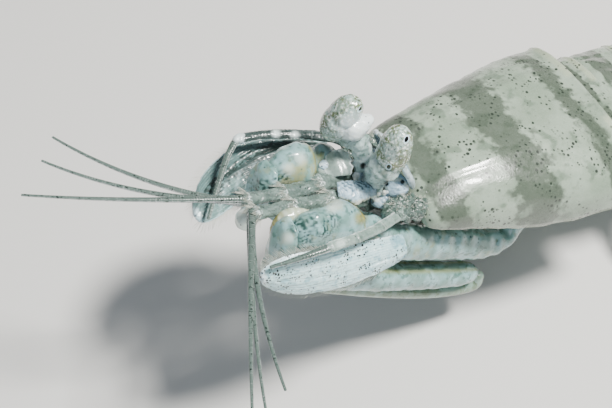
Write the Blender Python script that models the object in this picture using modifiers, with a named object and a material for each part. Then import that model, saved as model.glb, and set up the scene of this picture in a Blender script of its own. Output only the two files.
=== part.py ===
"""A large pale spearing mantis shrimp (family Lysiosquillidae) at rest, life size, as a still museum model.

The animal faces +X with its left side to +Y, and stands on z = 0 on its telson fan, its swimming legs
and its walking legs, with the head raised. Sizes below are in millimetres and become metres in the meshes.
The body is laid out from a point between the bases of the two antennal scales, called the head point.
"""

import math

import bmesh
import bpy
from mathutils import Matrix, Vector

MM = 0.001
SIDES = {"left": 1, "right": -1}

# How far ahead of the origin the head point is, so that the origin is under the middle of the whole animal.
FORWARD_SHIFT = 91.1

HEAD_HEIGHT = 45.0
HEAD_PITCH = math.radians(11)
GAP = 0.3
PLATE_THICKNESS = 0.8

CARAPACE_FRONT, CARAPACE_LENGTH = -6.5, 47.5
THORAX_LENGTHS = (6.0, 12.7, 13.7, 13.7)
SOMITE_LENGTH, SOMITES = 17.7, 6
TELSON_LENGTH = 24.0

EYE_LENGTH, EYE_HALF_WIDTH = 11.2, 3.4
EYE_LEAN = {
    "left": Vector((-0.05, 0.01, 1.0)).normalized(),
    "right": Vector((-0.29, 0.14, 0.95)).normalized(),
}
EYE_MIDDLE = {"left": Vector((1.1, 4.2, 19.8)), "right": Vector((6.2, -6.6, 19.6))}

SCALE_WIDTH = 9.6
# How each antennal scale is held: how far forward it reaches, its tilt about its own length at the base and
# at the tip, in degrees, and its middle line as base, bow and end, sideways and in height.
SCALE_POSE = {
    "left": {"reach": 31.5, "tilt": (-52, -80), "side": (14.0, 14.8, 10.8), "height": (2.0, 1.9, 4.8)},
    "right": {"reach": 33.0, "tilt": (50, 0), "side": (14.6, 21.4, 10.0), "height": (0.4, 0.4, -1.6)},
}
# How far each claw's elbow is held forward and up from its mean place, and the teeth on its finger.
CLAW_SHIFT = {"left": (0.9, 2.4), "right": (-2.6, 2.2)}
TEETH = 8

# Each whip of the first antennae: its length, its heading at the root and at the tip in degrees to the
# left of straight ahead, and how far its tip droops.
WHIPS = {
    "left": ((43.0, 59, 63, 2.0), (37.0, 61, 80, 2.0), (40.0, 60, 71, 4.0)),
    "right": ((40.0, -21, -30, 1.0), (38.0, -24, -54, 0.5), (38.0, -34, -62, -0.5)),
}

CUTICLE = (0.56, 0.60, 0.50)
LIMB = (0.50, 0.56, 0.50)
CLAW = (0.58, 0.66, 0.56)
FAN = (0.44, 0.48, 0.42)
EYE = (0.50, 0.52, 0.44)


def start_scene():
    for old in list(bpy.data.objects):
        bpy.data.objects.remove(old)
    parts = bpy.data.collections.new("mantis_shrimp")
    cutters = bpy.data.collections.new("cutters")
    for group in (parts, cutters):
        bpy.context.scene.collection.children.link(group)
    return parts, cutters


PARTS, CUTTERS = start_scene()


def empty(name, place, parent=None, pitch=0.0):
    holder = bpy.data.objects.new(name, None)
    holder.location = Vector(place) * MM
    holder.rotation_euler = (0, -pitch, 0)
    holder.parent = parent
    PARTS.objects.link(holder)
    return holder


ANIMAL = empty("animal", (FORWARD_SHIFT, 0, 0))
HEAD = empty("head", (0, 0, HEAD_HEIGHT), ANIMAL, HEAD_PITCH)


def finish(name, colour, roughness=0.35):
    """The material of one kind of piece, made once."""
    material = bpy.data.materials.get(name)
    if material:
        return material
    material = bpy.data.materials.new(name)
    material.use_nodes = True
    shader = material.node_tree.nodes["Principled BSDF"]
    shader.inputs["Base Color"].default_value = (*colour, 1)
    shader.inputs["Roughness"].default_value = roughness
    shader.inputs["Metallic"].default_value = 0
    return material


def add_object(name, mesh, parent, material):
    piece = bpy.data.objects.new(name, mesh)
    piece.parent = parent
    mesh.materials.clear()
    mesh.materials.append(material)
    mesh.shade_smooth()
    mesh.set_sharp_from_angle(angle=math.radians(50))
    PARTS.objects.link(piece)
    return piece


def as_cutter(piece):
    """Makes a piece a helper: drawn as wire, and left out of the model."""
    PARTS.objects.unlink(piece)
    CUTTERS.objects.link(piece)
    piece.hide_render = True
    piece.display_type = "WIRE"
    return piece


def combine(piece, other, operation):
    modifier = piece.modifiers.new(operation.lower(), "BOOLEAN")
    modifier.object = as_cutter(other)
    modifier.operation = operation
    modifier.solver = "EXACT"


def signed_power(value, power):
    return math.copysign(abs(value) ** power, value)


def section(middle, across, up, down, round_top=1.0, round_low=1.0):
    """A closed outline: half an oval above the middle, half below. A power under 1 makes it boxier."""

    def point(angle):
        rise = math.sin(angle)
        power = round_top if rise >= 0 else round_low
        height = up if rise >= 0 else down
        sideways = signed_power(math.cos(angle), power)
        return middle + across * sideways + height * abs(rise) ** power

    return point


def mesh_of(bm, name):
    """The mesh of a closed shape, turned to face out."""
    bmesh.ops.recalc_face_normals(bm, faces=bm.faces)
    if bm.calc_volume(signed=True) < 0:
        bmesh.ops.reverse_faces(bm, faces=bm.faces)
    mesh = bpy.data.meshes.new(name)
    bm.to_mesh(mesh)
    bm.free()
    return mesh


def lofted(name, sections, around, parent, material):
    """A closed body on a row of outlines: a sphere's rings are laid on them, and its poles close it."""
    bm = bmesh.new()
    rings = len(sections) + 1
    bmesh.ops.create_uvsphere(bm, u_segments=around, v_segments=rings, radius=1)
    for vert in bm.verts:
        ring = round(math.acos(max(-1.0, min(1.0, vert.co.z))) / math.pi * rings)
        if ring in (0, rings):
            outline = sections[0 if ring == 0 else -1]
            opposite = [outline(math.pi * quarter / 2) for quarter in range(4)]
            vert.co = sum(opposite, Vector()) / 4 * MM
        else:
            vert.co = sections[ring - 1](math.atan2(vert.co.y, vert.co.x)) * MM
    return add_object(name, mesh_of(bm, name), parent, material)


def limb(name, rows, around, parent, material, flat=Vector((0, 1, 0))):
    """A limb's segment through rows of (x, y, z, half width, half height), outlined square to its path."""
    middles = [Vector(row[:3]) for row in rows]
    outlines = []
    for index, row in enumerate(rows):
        ahead = middles[min(index + 1, len(rows) - 1)] - middles[max(index - 1, 0)]
        ahead.normalize()
        across = (flat - ahead * flat.dot(ahead)).normalized()
        up = ahead.cross(across)
        outlines.append(section(middles[index], across * row[3], up * row[4], up * -row[4]))
    return lofted(name, outlines, around, parent, material)


def through(points, count):
    """Evenly numbered points on one smooth curve (Catmull-Rom) through the given ones."""
    points = [Vector(p) for p in points]
    padded = [2 * points[0] - points[1], *points, 2 * points[-1] - points[-2]]
    found = []
    for step in range(count):
        place = step / (count - 1) * (len(points) - 1)
        index = min(int(place), len(points) - 2)
        t = place - index
        a, b, c, d = padded[index : index + 4]
        found.append(
            0.5 * (2 * b + (c - a) * t + (2 * a - 5 * b + 4 * c - d) * t**2)
            + 0.5 * (3 * b - a - 3 * c + d) * t**3
        )
    return found


def tube(name, points, radii, parent, material):
    """A round feeler or leg: a curve with a radius at each point, made a mesh with its caps welded."""
    curve = bpy.data.curves.new(name, "CURVE")
    curve.dimensions = "3D"
    curve.bevel_depth = MM
    curve.bevel_resolution = 1
    curve.use_fill_caps = True
    spline = curve.splines.new("POLY")
    spline.points.add(len(points) - 1)
    for knot, point, radius in zip(spline.points, points, radii):
        knot.co = (*(Vector(point) * MM), 1)
        knot.radius = radius
    guide = bpy.data.objects.new(name + "_path", curve)
    PARTS.objects.link(guide)
    graph = bpy.context.evaluated_depsgraph_get()
    mesh = bpy.data.meshes.new_from_object(guide.evaluated_get(graph))
    bpy.data.objects.remove(guide)
    bm = bmesh.new()
    bm.from_mesh(mesh)
    bmesh.ops.remove_doubles(bm, verts=bm.verts, dist=1e-6)
    bpy.data.meshes.remove(mesh)
    return add_object(name, mesh_of(bm, name), parent, material)


def taper(count, start, end, power=1.0):
    return [start + (end - start) * (step / (count - 1)) ** power for step in range(count)]


def plate(name, place, along, across, thickness, parent, material):
    """A curved plate: place(u, v) is the middle of its thickness, u along and v across it, from 0 to 1."""
    bm = bmesh.new()
    bmesh.ops.create_grid(bm, x_segments=along, y_segments=across, size=0.5)
    for vert in bm.verts:
        vert.co = place(vert.co.x + 0.5, vert.co.y + 0.5) * MM
    bmesh.ops.recalc_face_normals(bm, faces=bm.faces)
    mesh = bpy.data.meshes.new(name)
    bm.to_mesh(mesh)
    bm.free()
    piece = add_object(name, mesh, parent, material)
    wall = piece.modifiers.new("thickness", "SOLIDIFY")
    wall.thickness = thickness * MM
    wall.offset = 0
    return piece


def spike(name, base, tip, radius, parent, material):
    """A spine: a cone from its base to its tip, sunk a little way into what it grows from."""
    base, tip = Vector(base), Vector(tip)
    axis = tip - base
    bm = bmesh.new()
    turn = axis.to_track_quat("Z", "Y").to_matrix().to_4x4()
    bmesh.ops.create_cone(
        bm,
        cap_ends=True,
        segments=4,
        radius1=radius * MM,
        radius2=0.2 * MM,
        depth=axis.length * MM,
        matrix=Matrix.Translation((base + tip) / 2 * MM) @ turn,
    )
    return add_object(name, mesh_of(bm, name), parent, material)


def body_ring(x, half_width, top, low, shoulder=0.42, round_top=0.8, round_low=0.55):
    """A cross-section of the body at x, arched above, nearly flat below, and widest at the shoulder."""
    widest = low + (top - low) * shoulder
    return section(
        Vector((x, 0, widest)),
        Vector((0, half_width, 0)),
        Vector((0, 0, top - widest)),
        Vector((0, 0, low - widest)),
        round_top,
        round_low,
    )


def blend(rows, place):
    """Reads a row of values at a place between 0 and len(rows) - 1, straight between its neighbours."""
    index = min(int(place), len(rows) - 2)
    part = place - index
    return [a + (b - a) * part for a, b in zip(rows[index], rows[index + 1])]


def carapace():
    # Along the carapace: share of its length, half width, top and underside.
    rows = (
        (0.00, 12.6, 49.0, 43.6),
        (0.06, 13.6, 50.2, 41.6),
        (0.22, 15.2, 51.2, 37.0),
        (0.42, 17.4, 50.8, 31.4),
        (0.62, 19.4, 48.6, 28.8),
        (0.82, 20.8, 45.8, 28.4),
        (0.97, 21.0, 43.2, 27.8),
        (1.00, 20.0, 42.2, 28.2),
    )
    rings = [
        body_ring(CARAPACE_FRONT - CARAPACE_LENGTH * share, width, top, low, 0.34)
        for share, width, top, low in rows
    ]
    lofted("carapace", rings, 16, ANIMAL, finish("carapace_cuticle", CUTICLE))


def rostral_plate():
    """The heart-shaped hinged plate behind the eyes, lifted as the eyes stand up."""
    lift = math.radians(67)
    length, half_width = 9.6, 5.6
    hinge = Vector((-5.6, 0, 7.0))

    def place(u, v):
        side = 2 * v - 1
        width = half_width * (1 - u**4) ** 0.6 * (0.9 + 0.2 * u) + 0.3
        forward = length * u
        crown = 0.9 * (1 - side**2)
        ahead = Vector((math.cos(lift), 0, math.sin(lift)))
        out = Vector((-math.sin(lift), 0, math.cos(lift)))
        return hinge + ahead * forward + out * (crown - 1.0 * u**2) + Vector((0, side * width, 0))

    plate("rostral_plate", place, 5, 6, 1.1, HEAD, finish("carapace_cuticle", CUTICLE))


def head_front():
    """The front of the head between the antennae, running back and down to the mouth."""
    rows = (
        (3.4, 0, 2.6, 4.2, 1.9),
        (2.4, 0, 2.6, 4.3, 2.6),
        (-1.0, 0, 1.8, 4.7, 3.2),
        (-4.0, 0, -1.8, 4.6, 3.0),
        (-7.5, 0, -7.0, 4.0, 2.8),
        (-11.0, 0, -9.8, 3.4, 2.6),
        (-12.4, 0, -11.4, 2.2, 1.8),
    )
    limb("head_front", rows, 10, HEAD, finish("limb_cuticle", LIMB))


# Each eyestalk from its root to the lobe beside the cornea: x, y, z, half width, half depth.
STALK_ROWS = {
    "left": (
        (1.0, 2.3, 6.3, 1.7, 1.7),
        (1.6, 2.2, 9.0, 1.8, 1.8),
        (2.2, 2.6, 11.4, 2.1, 2.1),
        (2.4, 3.4, 13.4, 2.6, 2.6),
        (2.2, 4.0, 15.4, 3.1, 3.1),
        (1.8, 4.2, 17.2, 2.7, 2.7),
    ),
    "right": (
        (1.0, -1.9, 6.3, 1.7, 1.7),
        (1.9, -1.9, 9.0, 1.9, 1.8),
        (2.1, -2.3, 11.0, 1.8, 1.8),
        (2.6, -3.0, 13.4, 2.0, 2.0),
        (3.8, -4.3, 15.6, 2.7, 2.6),
        (4.0, -4.8, 17.4, 2.8, 2.8),
        (3.0, -4.6, 18.8, 2.2, 2.2),
    ),
}


def eye(side):
    """The long cornea with its slight waist, and the stalk under it, hollowed to leave the cornea room."""
    middle = EYE_MIDDLE[side]
    lean = EYE_LEAN[side]

    def globe(name, margin):
        rows = []
        count = 8
        for step in range(count):
            share = (step + 0.5) / count
            along = (share - 0.5) * (EYE_LENGTH + 2 * margin)
            bulge = math.sqrt(1 - (2 * share - 1) ** 2) ** 0.8
            waist = 1 - 0.09 * math.exp(-(((share - 0.5) / 0.09) ** 2))
            radius = EYE_HALF_WIDTH * bulge * waist + margin
            rows.append((*(middle + lean * along), radius, radius))
        return limb(name, rows, 12, HEAD, finish("eye_cuticle", EYE, 0.2))

    globe(f"cornea_{side}", 0)
    stalk = limb(f"eyestalk_{side}", STALK_ROWS[side], 10, HEAD, finish("limb_cuticle", LIMB))
    combine(stalk, globe(f"cornea_room_{side}", GAP), "DIFFERENCE")


def whip_line(root, length, first, last, droop, count):
    """A feeler that turns evenly from its first heading to its last, and sinks by droop at its tip."""
    points = [root]
    for step in range(1, count):
        share = step / (count - 1)
        turn = math.radians(first + (last - first) * (share - 0.5 / (count - 1)))
        stride = length / (count - 1)
        before = (step - 1) / (count - 1)
        fall = droop * (share**1.6 - before**1.6)
        points.append(points[-1] + Vector((math.cos(turn) * stride, math.sin(turn) * stride, -fall)))
    return points


def first_antenna(side):
    """A three-jointed peduncle under the eye, and its three whips."""
    sign = SIDES[side]
    rows = (
        (3.9, sign * 3.0, 5.2, 1.7, 1.7),
        (6.0, sign * 2.8, 6.0, 2.1, 2.0),
        (11.6, sign * 2.2, 7.4, 1.9, 1.8),
        (12.4, sign * 2.1, 7.6, 1.2, 1.2),
        (13.4, sign * 2.0, 7.8, 1.6, 1.5),
        (20.0, sign * 1.8, 9.2, 1.4, 1.35),
        (20.8, sign * 1.8, 9.4, 1.0, 1.0),
        (21.8, sign * 1.8, 9.6, 1.4, 1.3),
        (28.0, sign * 1.8, 11.0, 1.3, 1.2),
        (28.8, sign * 1.8, 11.2, 0.9, 0.9),
    )
    limb(f"first_antenna_{side}", rows, 8, HEAD, finish("limb_cuticle", LIMB))
    count = 7
    whips = []
    for number, (length, first, last, droop) in enumerate(WHIPS[side]):
        root = Vector((29.9, sign * (1.9 - 0.25 * number), 11.7 - 0.45 * number))
        points = whip_line(root, length, first, last, droop, count)
        name = f"first_antenna_whips_{side}" if number == 0 else f"whip_{number}_{side}"
        whips.append(tube(name, points, taper(count, 0.85, 0.27, 0.7), HEAD, finish("limb_cuticle", LIMB)))
    for whip in whips[1:]:
        combine(whips[0], whip, "UNION")


def second_antenna(side):
    """The stout base that bears the scale, the jointed peduncle that bends off it, and one short whip."""
    if side == "left":
        route = (
            (-5.0, 8.9, 4.4),
            (-1.2, 9.2, 5.4),
            (3.4, 10.8, 6.8),
            (10.4, 12.8, 8.8),
            (18.5, 13.4, 9.9),
            (22.5, 13.3, 9.8),
            (26.5, 12.7, 9.0),
            (30.5, 11.9, 8.2),
        )
    else:
        route = (
            (-5.0, -8.9, 4.6),
            (-1.2, -9.4, 5.6),
            (3.2, -11.8, 6.4),
            (9.6, -15.8, 5.8),
            (19.0, -18.2, 6.4),
            (22.4, -17.4, 5.6),
            (27.0, -12.8, 4.0),
            (32.4, -6.8, 1.8),
        )
    count = 13
    points = through(route, count)
    radii = []
    for step in range(count):
        place = step / (count - 1) * (len(route) - 1)
        if place < 1.2:
            radii.append(2.6 - 0.4 * abs(place - 0.6))
        elif place < 4.1:
            radii.append(1.35 - 0.05 * place)
        else:
            radii.append(max(0.95 - 0.2 * (place - 4), 0.3))
    tube(f"second_antenna_{side}", points, radii, HEAD, finish("limb_cuticle", LIMB))


def antennal_scale(side):
    """The oval blade beside the claws: its middle line bows, and it twists along its length."""
    sign = SIDES[side]
    pose = SCALE_POSE[side]
    root_width = 4.6

    def bowed(three, t):
        base, bow, end = three
        return base * (1 - t) ** 2 + 2 * bow * t * (1 - t) + end * t**2

    def place(u, v):
        across = 2 * v - 1
        swell = root_width + (SCALE_WIDTH - root_width) * min(1, u / 0.55) ** 0.8
        end = math.sqrt(max(0.0, 1 - max(0.0, (u - 0.72) / 0.28) ** 2.2))
        half = max(0.5 * swell * end, 0.3)
        tilt = math.radians(pose["tilt"][0] + (pose["tilt"][1] - pose["tilt"][0]) * u)
        outward = Vector((0, sign * math.cos(tilt), math.sin(tilt)))
        crown = Vector((0, -sign * math.sin(tilt), math.cos(tilt))) * 0.9 * (1 - across**2)
        forward = 1.0 + (pose["reach"] - 1.0) * u
        middle = Vector((forward, sign * bowed(pose["side"], u), bowed(pose["height"], u)))
        return middle + outward * half * across + crown

    plate(f"antennal_scale_{side}", place, 10, 4, PLATE_THICKNESS, HEAD, finish("limb_cuticle", LIMB))


def claw(side):
    """A folded raptorial claw: thigh out to the elbow, hand folded back under it, toothed finger below."""
    sign = SIDES[side]
    skin = finish("claw_cuticle", CLAW)
    forward, upward = CLAW_SHIFT[side]

    def held(row):
        """A row carried with the elbow in proportion to how near it is."""
        x, y, z, half_width, half_height = row
        near = min(1.0, max(0.0, (x + 29) / 40)) ** 2
        return x + forward * near, y, z + upward * near, half_width, half_height

    def folded(name, rows, around):
        carried = [held(row) for row in rows]
        placed = [(row[0], sign * row[1], *row[2:]) for row in carried]
        return limb(f"claw_{name}_{side}", placed, around, HEAD, skin)

    thigh = (
        (-33.0, 10.4, -9.2, 1.7, 1.7),
        (-33.4, 10.8, -11.8, 2.1, 2.1),
        (-31.0, 11.1, -14.8, 2.5, 2.6),
        (-26.0, 11.0, -14.6, 3.0, 3.4),
        (-16.0, 10.0, -10.6, 3.4, 4.0),
        (-4.0, 9.1, -6.0, 3.5, 4.2),
        (5.0, 8.2, -1.4, 3.3, 4.8),
        (12.6, 7.8, 3.6, 3.4, 5.6),
        (18.6, 7.7, 5.2, 3.2, 5.4),
        (21.4, 7.6, 5.6, 2.3, 3.9),
    )
    wrist = (
        (22.9, 7.2, 8.4, 2.0, 0.8),
        (23.9, 7.0, 6.8, 3.1, 1.3),
        (24.4, 7.2, 3.0, 3.3, 1.7),
        (24.2, 7.4, -1.0, 3.1, 2.3),
        (22.9, 7.7, -4.0, 2.5, 2.3),
        (21.5, 7.8, -5.1, 1.3, 1.3),
    )
    hand = (
        (19.6, 7.9, -6.6, 1.6, 1.6),
        (17.4, 8.1, -7.4, 2.8, 3.0),
        (11.0, 8.6, -10.0, 3.3, 3.7),
        (-2.0, 10.0, -15.0, 3.0, 3.5),
        (-16.0, 11.2, -20.2, 2.6, 3.2),
        (-23.0, 11.6, -22.6, 2.4, 2.7),
        (-25.4, 11.7, -23.6, 1.3, 1.5),
    )
    finger = (
        (-27.2, 11.9, -25.4, 1.4, 1.3),
        (-25.6, 12.0, -27.6, 1.7, 1.7),
        (-15.8, 11.5, -26.0, 1.2, 1.3),
        (-3.4, 10.3, -21.4, 1.0, 1.2),
        (9.0, 8.8, -16.4, 0.8, 0.9),
        (15.0, 8.2, -13.6, 0.4, 0.4),
    )
    folded("merus", thigh, 10)
    folded("carpus", wrist, 12)
    folded("propodus", hand, 12)
    blade = folded("dactylus", finger, 6)
    for number in range(TEETH):
        # From just past the finger's root to near its point, longer towards the point.
        share = (number + 0.7) / TEETH
        x, y, z, half_width, _ = held(blend(finger, 1 + 3.4 * share))
        length = 2.0 + 2.2 * share
        root = (x, sign * (y - 0.4 * half_width), z)
        tip = (x - 0.6, sign * (y - 0.3 * half_width - 0.75 * length), z + 0.62 * length)
        combine(blade, spike(f"claw_tooth_{number}_{side}", root, tip, 0.75, HEAD, skin), "UNION")


def maxillipeds(side):
    """The small mouth legs folded under the mouth: a thin cleaning pair, and three with round ends."""
    sign = SIDES[side]
    skin = finish("limb_cuticle", LIMB)
    cleaner = ((-18.4, 2.2, -8.6), (-15.8, 2.6, -12.4), (-8.0, 2.8, -14.4), (-1.0, 2.4, -12.2))
    points = [(x, sign * y, z) for x, y, z in cleaner]
    tube(f"maxilliped_1_{side}", through(points, 8), taper(8, 0.9, 0.5), HEAD, skin)
    for number in range(3, 6):
        back = (number - 3) * 7.0
        out = 3.4 * (number == 4) - 1.6
        low = 5.0 - 0.22 * back
        rows = (
            (-27.0 - back, sign * (3.4 + out), -15.4 + low, 1.2, 1.2),
            (-26.4 - back, sign * (4.2 + out), -18.6 + low, 1.3, 1.3),
            (-23.0 - back, sign * (5.0 + out), -22.4 + low, 1.3, 1.4),
            (-18.6 - back, sign * (4.6 + out), -24.4 + low, 1.5, 2.2),
            (-15.6 - back, sign * (4.2 + out), -23.0 + low, 1.5, 2.9),
            (-14.0 - back, sign * (3.9 + out), -21.2 + low, 1.1, 1.9),
            (-13.6 - back, sign * (3.8 + out), -20.0 + low, 0.5, 0.7),
        )
        limb(f"maxilliped_{number}_{side}", rows, 6, HEAD, skin)


# Body behind the carapace, at the joints between its rings: half width, top and underside.
THORAX_JOINTS = (
    (15.0, 41.0, 28.6),
    (16.6, 39.0, 26.4),
    (18.0, 34.0, 21.0),
    (19.0, 29.2, 15.2),
    (20.0, 26.4, 10.6),
)
ABDOMEN_JOINTS = (
    (20.2, 26.2, 10.2),
    (21.6, 26.0, 8.2),
    (22.6, 25.6, 7.6),
    (23.0, 25.0, 7.4),
    (22.8, 24.2, 7.4),
    (21.8, 23.0, 7.4),
    (19.6, 20.8, 7.6),
)


def body_plates(names, start, lengths, joints, material):
    """The rings of the body: each is tucked in where it meets the one ahead and flares at its own rear."""
    x = start
    for index, (name, length) in enumerate(zip(names, lengths)):
        rings = []
        for share, tuck in ((0.0, 1.1), (0.1, 0.25), (0.45, 0.0), (0.9, -0.15), (1.0, 0.35)):
            half_width, top, low = blend(joints, index + share)
            rings.append(body_ring(x - length * share, half_width - tuck, top - tuck * 0.9, low))
        lofted(name, rings, 14, ANIMAL, material)
        x -= length + GAP
    return x


def trunk():
    skin = finish("body_cuticle", CUTICLE)
    names = [f"thorax_{number}" for number in range(5, 9)]
    start = CARAPACE_FRONT - CARAPACE_LENGTH - GAP
    x = body_plates(names, start, THORAX_LENGTHS, THORAX_JOINTS, skin)
    names = [f"abdomen_{number}" for number in range(1, SOMITES + 1)]
    return x, body_plates(names, x, [SOMITE_LENGTH] * SOMITES, ABDOMEN_JOINTS, skin)


def walking_legs():
    """Three slender pairs under the last rings of the chest, each with a thin side branch."""
    skin = finish("limb_cuticle", LIMB)
    x = CARAPACE_FRONT - CARAPACE_LENGTH - GAP - THORAX_LENGTHS[0] - GAP
    for number in range(3):
        length = THORAX_LENGTHS[number + 1]
        middle = x - length * 0.5
        _, _, low = blend(THORAX_JOINTS, number + 1.5)
        x -= length + GAP
        foot = middle + 7.0 - 3.5 * number
        for side, sign in SIDES.items():
            route = (
                (middle, 11.0, low - 0.5),
                (middle + 0.4, 11.6, low - 3.2),
                (middle + (foot - middle) * 0.4, 18.0, low - 5.0),
                (foot, 24.0 + number, min(low - 5.0, 7.5)),
                (foot + 0.3, 25.0 + number, 1.6),
            )
            points = through([(a, sign * b, c) for a, b, c in route], 7)
            points.append(Vector((points[-1].x, points[-1].y, 0.0)))
            radii = [1.9, 1.8, 1.5, 1.3, 1.2, 1.1, 0.9, 0.9]
            name = f"walking_leg_{number + 1}_{side}"
            leg = tube(name, points, radii, ANIMAL, skin)
            branch = (
                (middle + 0.8, 12.6, low - 3.6),
                (middle - 0.8, 17.0, low - 2.4),
                (middle - 2.2, 22.0, low - 3.2),
                (middle - 3.0, 26.0, low - 5.4),
            )
            points = through([(a, sign * b, c) for a, b, c in branch], 5)
            combine(leg, tube(f"{name}_branch", points, taper(5, 0.9, 0.55), ANIMAL, skin), "UNION")


def swimming_legs(start):
    """Five pairs of leafy swimming legs, each pair hooked together, lying back on the floor."""
    skin = finish("fan_cuticle", FAN)
    for number in range(5):
        front = start - (SOMITE_LENGTH + GAP) * number - 3.6
        _, _, low = blend(ABDOMEN_JOINTS, number + 0.4)
        reach = 13.4 - 0.4 * number
        half_width = 17.5

        def place(u, v):
            side = 2 * v - 1
            leaf = abs(math.sin(2 * math.pi * side)) ** 0.5
            length = reach * (0.62 + 0.38 * leaf) * (1 - 0.18 * side**2)
            back = length * u
            drop = min(1.0, u / 0.72)
            fall = drop * drop * (3 - 2 * drop)
            height = (low - 0.9) * (1 - fall) + 0.5 * fall
            return Vector((front - back, side * half_width * (1 - 0.1 * u), height))

        plate(f"swimming_legs_{number + 1}", place, 3, 10, 1.0, ANIMAL, skin)


def telson(front):
    """The tail shield with its low middle boss and toothed edge."""
    skin = finish("fan_cuticle", FAN)
    rows = (
        (0.00, 15.6, 19.6, 8.4),
        (0.12, 17.6, 19.4, 7.0),
        (0.40, 18.6, 17.0, 5.0),
        (0.68, 17.4, 12.6, 3.2),
        (0.88, 14.0, 8.0, 2.0),
        (1.00, 9.0, 4.6, 1.4),
    )
    rings = [
        body_ring(front - TELSON_LENGTH * share, half, top, low, 0.2, 1.15, 0.6)
        for share, half, top, low in rows
    ]
    shield = lofted("telson", rings, 14, ANIMAL, skin)
    for number, (x, y) in enumerate(((0.94, 3.4), (0.88, 9.0), (0.7, 13.8))):
        for side, sign in SIDES.items():
            base = Vector((front - TELSON_LENGTH * x, sign * y, 3.2 + 1.2 * number))
            tip = base + Vector((-5.2, sign * 0.9 * number, -1.6))
            tooth = spike(f"telson_tooth_{number}_{side}", base, tip, 1.5, ANIMAL, skin)
            combine(shield, tooth, "UNION")


def uropods(front):
    """Each side of the tail fan: a base with two long spines, a long outer paddle and an oval inner one."""
    skin = finish("fan_cuticle", FAN)
    for side, sign in SIDES.items():
        rows = (
            (front + 3.0, sign * 22.0, 9.8, 1.6, 1.8),
            (front + 1.0, sign * 22.8, 9.4, 2.5, 2.5),
            (front - 5.0, sign * 24.0, 7.8, 2.8, 2.4),
            (front - 9.0, sign * 24.8, 6.8, 2.5, 1.8),
            (front - 10.4, sign * 25.0, 6.5, 1.2, 1.0),
        )
        base = limb(f"uropod_base_{side}", rows, 10, ANIMAL, skin)
        for number, (y, length) in enumerate(((23.2, 13.5), (25.4, 10.0))):
            root = (front - 7.6, sign * y, 6.6)
            tip = (front - 7.6 - length, sign * (y - 1.6 * (1 - number)), 4.6)
            combine(base, spike(f"uropod_spine_{number}_{side}", root, tip, 1.3, ANIMAL, skin), "UNION")
        uropod_paddle(f"uropod_outer_{side}", front - 7.5, sign, 28.6, 28.0, 10.4, 19, skin)
        uropod_paddle(f"uropod_inner_{side}", front - 8.6, sign, 20.9, 22.5, 7.4, 0, skin)


def uropod_paddle(name, front, sign, side_place, length, width, splay, skin):
    """An oval paddle that slopes down from under the base and lies flat on the floor for its last half."""
    thick = 1.2
    spread = math.tan(math.radians(splay))

    def place(u, v):
        side = 2 * v - 1
        tip = math.sqrt(max(0.0, 1 - (max(0.0, u - 0.66) / 0.34) ** 2.4))
        half = width / 2 * math.sin(math.pi * (0.1 + 0.6 * u)) ** 0.6 * max(tip, 0.3)
        drop = min(1.0, u / 0.5)
        fall = drop * drop * (3 - 2 * drop)
        height = 3.9 * (1 - fall) + thick / 2 * fall
        return Vector((front - length * u, sign * (side_place + spread * length * u + half * side), height))

    plate(name, place, 7, 4, thick, ANIMAL, skin)


def build():
    carapace()
    rostral_plate()
    head_front()
    for side in SIDES:
        eye(side)
        first_antenna(side)
        second_antenna(side)
        antennal_scale(side)
        claw(side)
        maxillipeds(side)
    abdomen_start, tail_start = trunk()
    walking_legs()
    swimming_legs(abdomen_start)
    telson(tail_start)
    uropods(tail_start)


build()
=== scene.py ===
"""The looks of a large pale spearing mantis shrimp, a life-size still model, made around its fixed frame.

Sizes are in millimetres until a mesh is made. Body pieces are laid out as x ahead of the head point, y to the
animal's left and z above the floor. Head pieces are laid out in the head's own axes, pitched nose-up.
"""

import math

import bpy
import numpy as np
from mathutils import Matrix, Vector


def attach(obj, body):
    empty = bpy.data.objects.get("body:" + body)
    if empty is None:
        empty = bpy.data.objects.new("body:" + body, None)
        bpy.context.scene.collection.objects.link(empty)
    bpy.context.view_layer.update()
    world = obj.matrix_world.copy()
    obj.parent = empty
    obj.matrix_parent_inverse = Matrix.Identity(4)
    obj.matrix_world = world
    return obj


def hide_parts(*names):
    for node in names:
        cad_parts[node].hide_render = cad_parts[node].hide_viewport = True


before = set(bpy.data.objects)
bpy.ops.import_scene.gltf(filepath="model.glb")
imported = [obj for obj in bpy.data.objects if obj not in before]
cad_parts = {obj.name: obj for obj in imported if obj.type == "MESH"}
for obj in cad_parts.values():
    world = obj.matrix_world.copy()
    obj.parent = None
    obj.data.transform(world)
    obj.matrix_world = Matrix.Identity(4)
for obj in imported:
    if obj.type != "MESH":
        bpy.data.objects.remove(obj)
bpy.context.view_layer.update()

MM = 0.001
HEAD_POINT = np.array([91.1, 0.0, 45.0])
HEAD_PITCH = math.radians(11)
SIDES = {"left": 1, "right": -1}
FLOOR_CLEARANCE = 0.05

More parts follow.
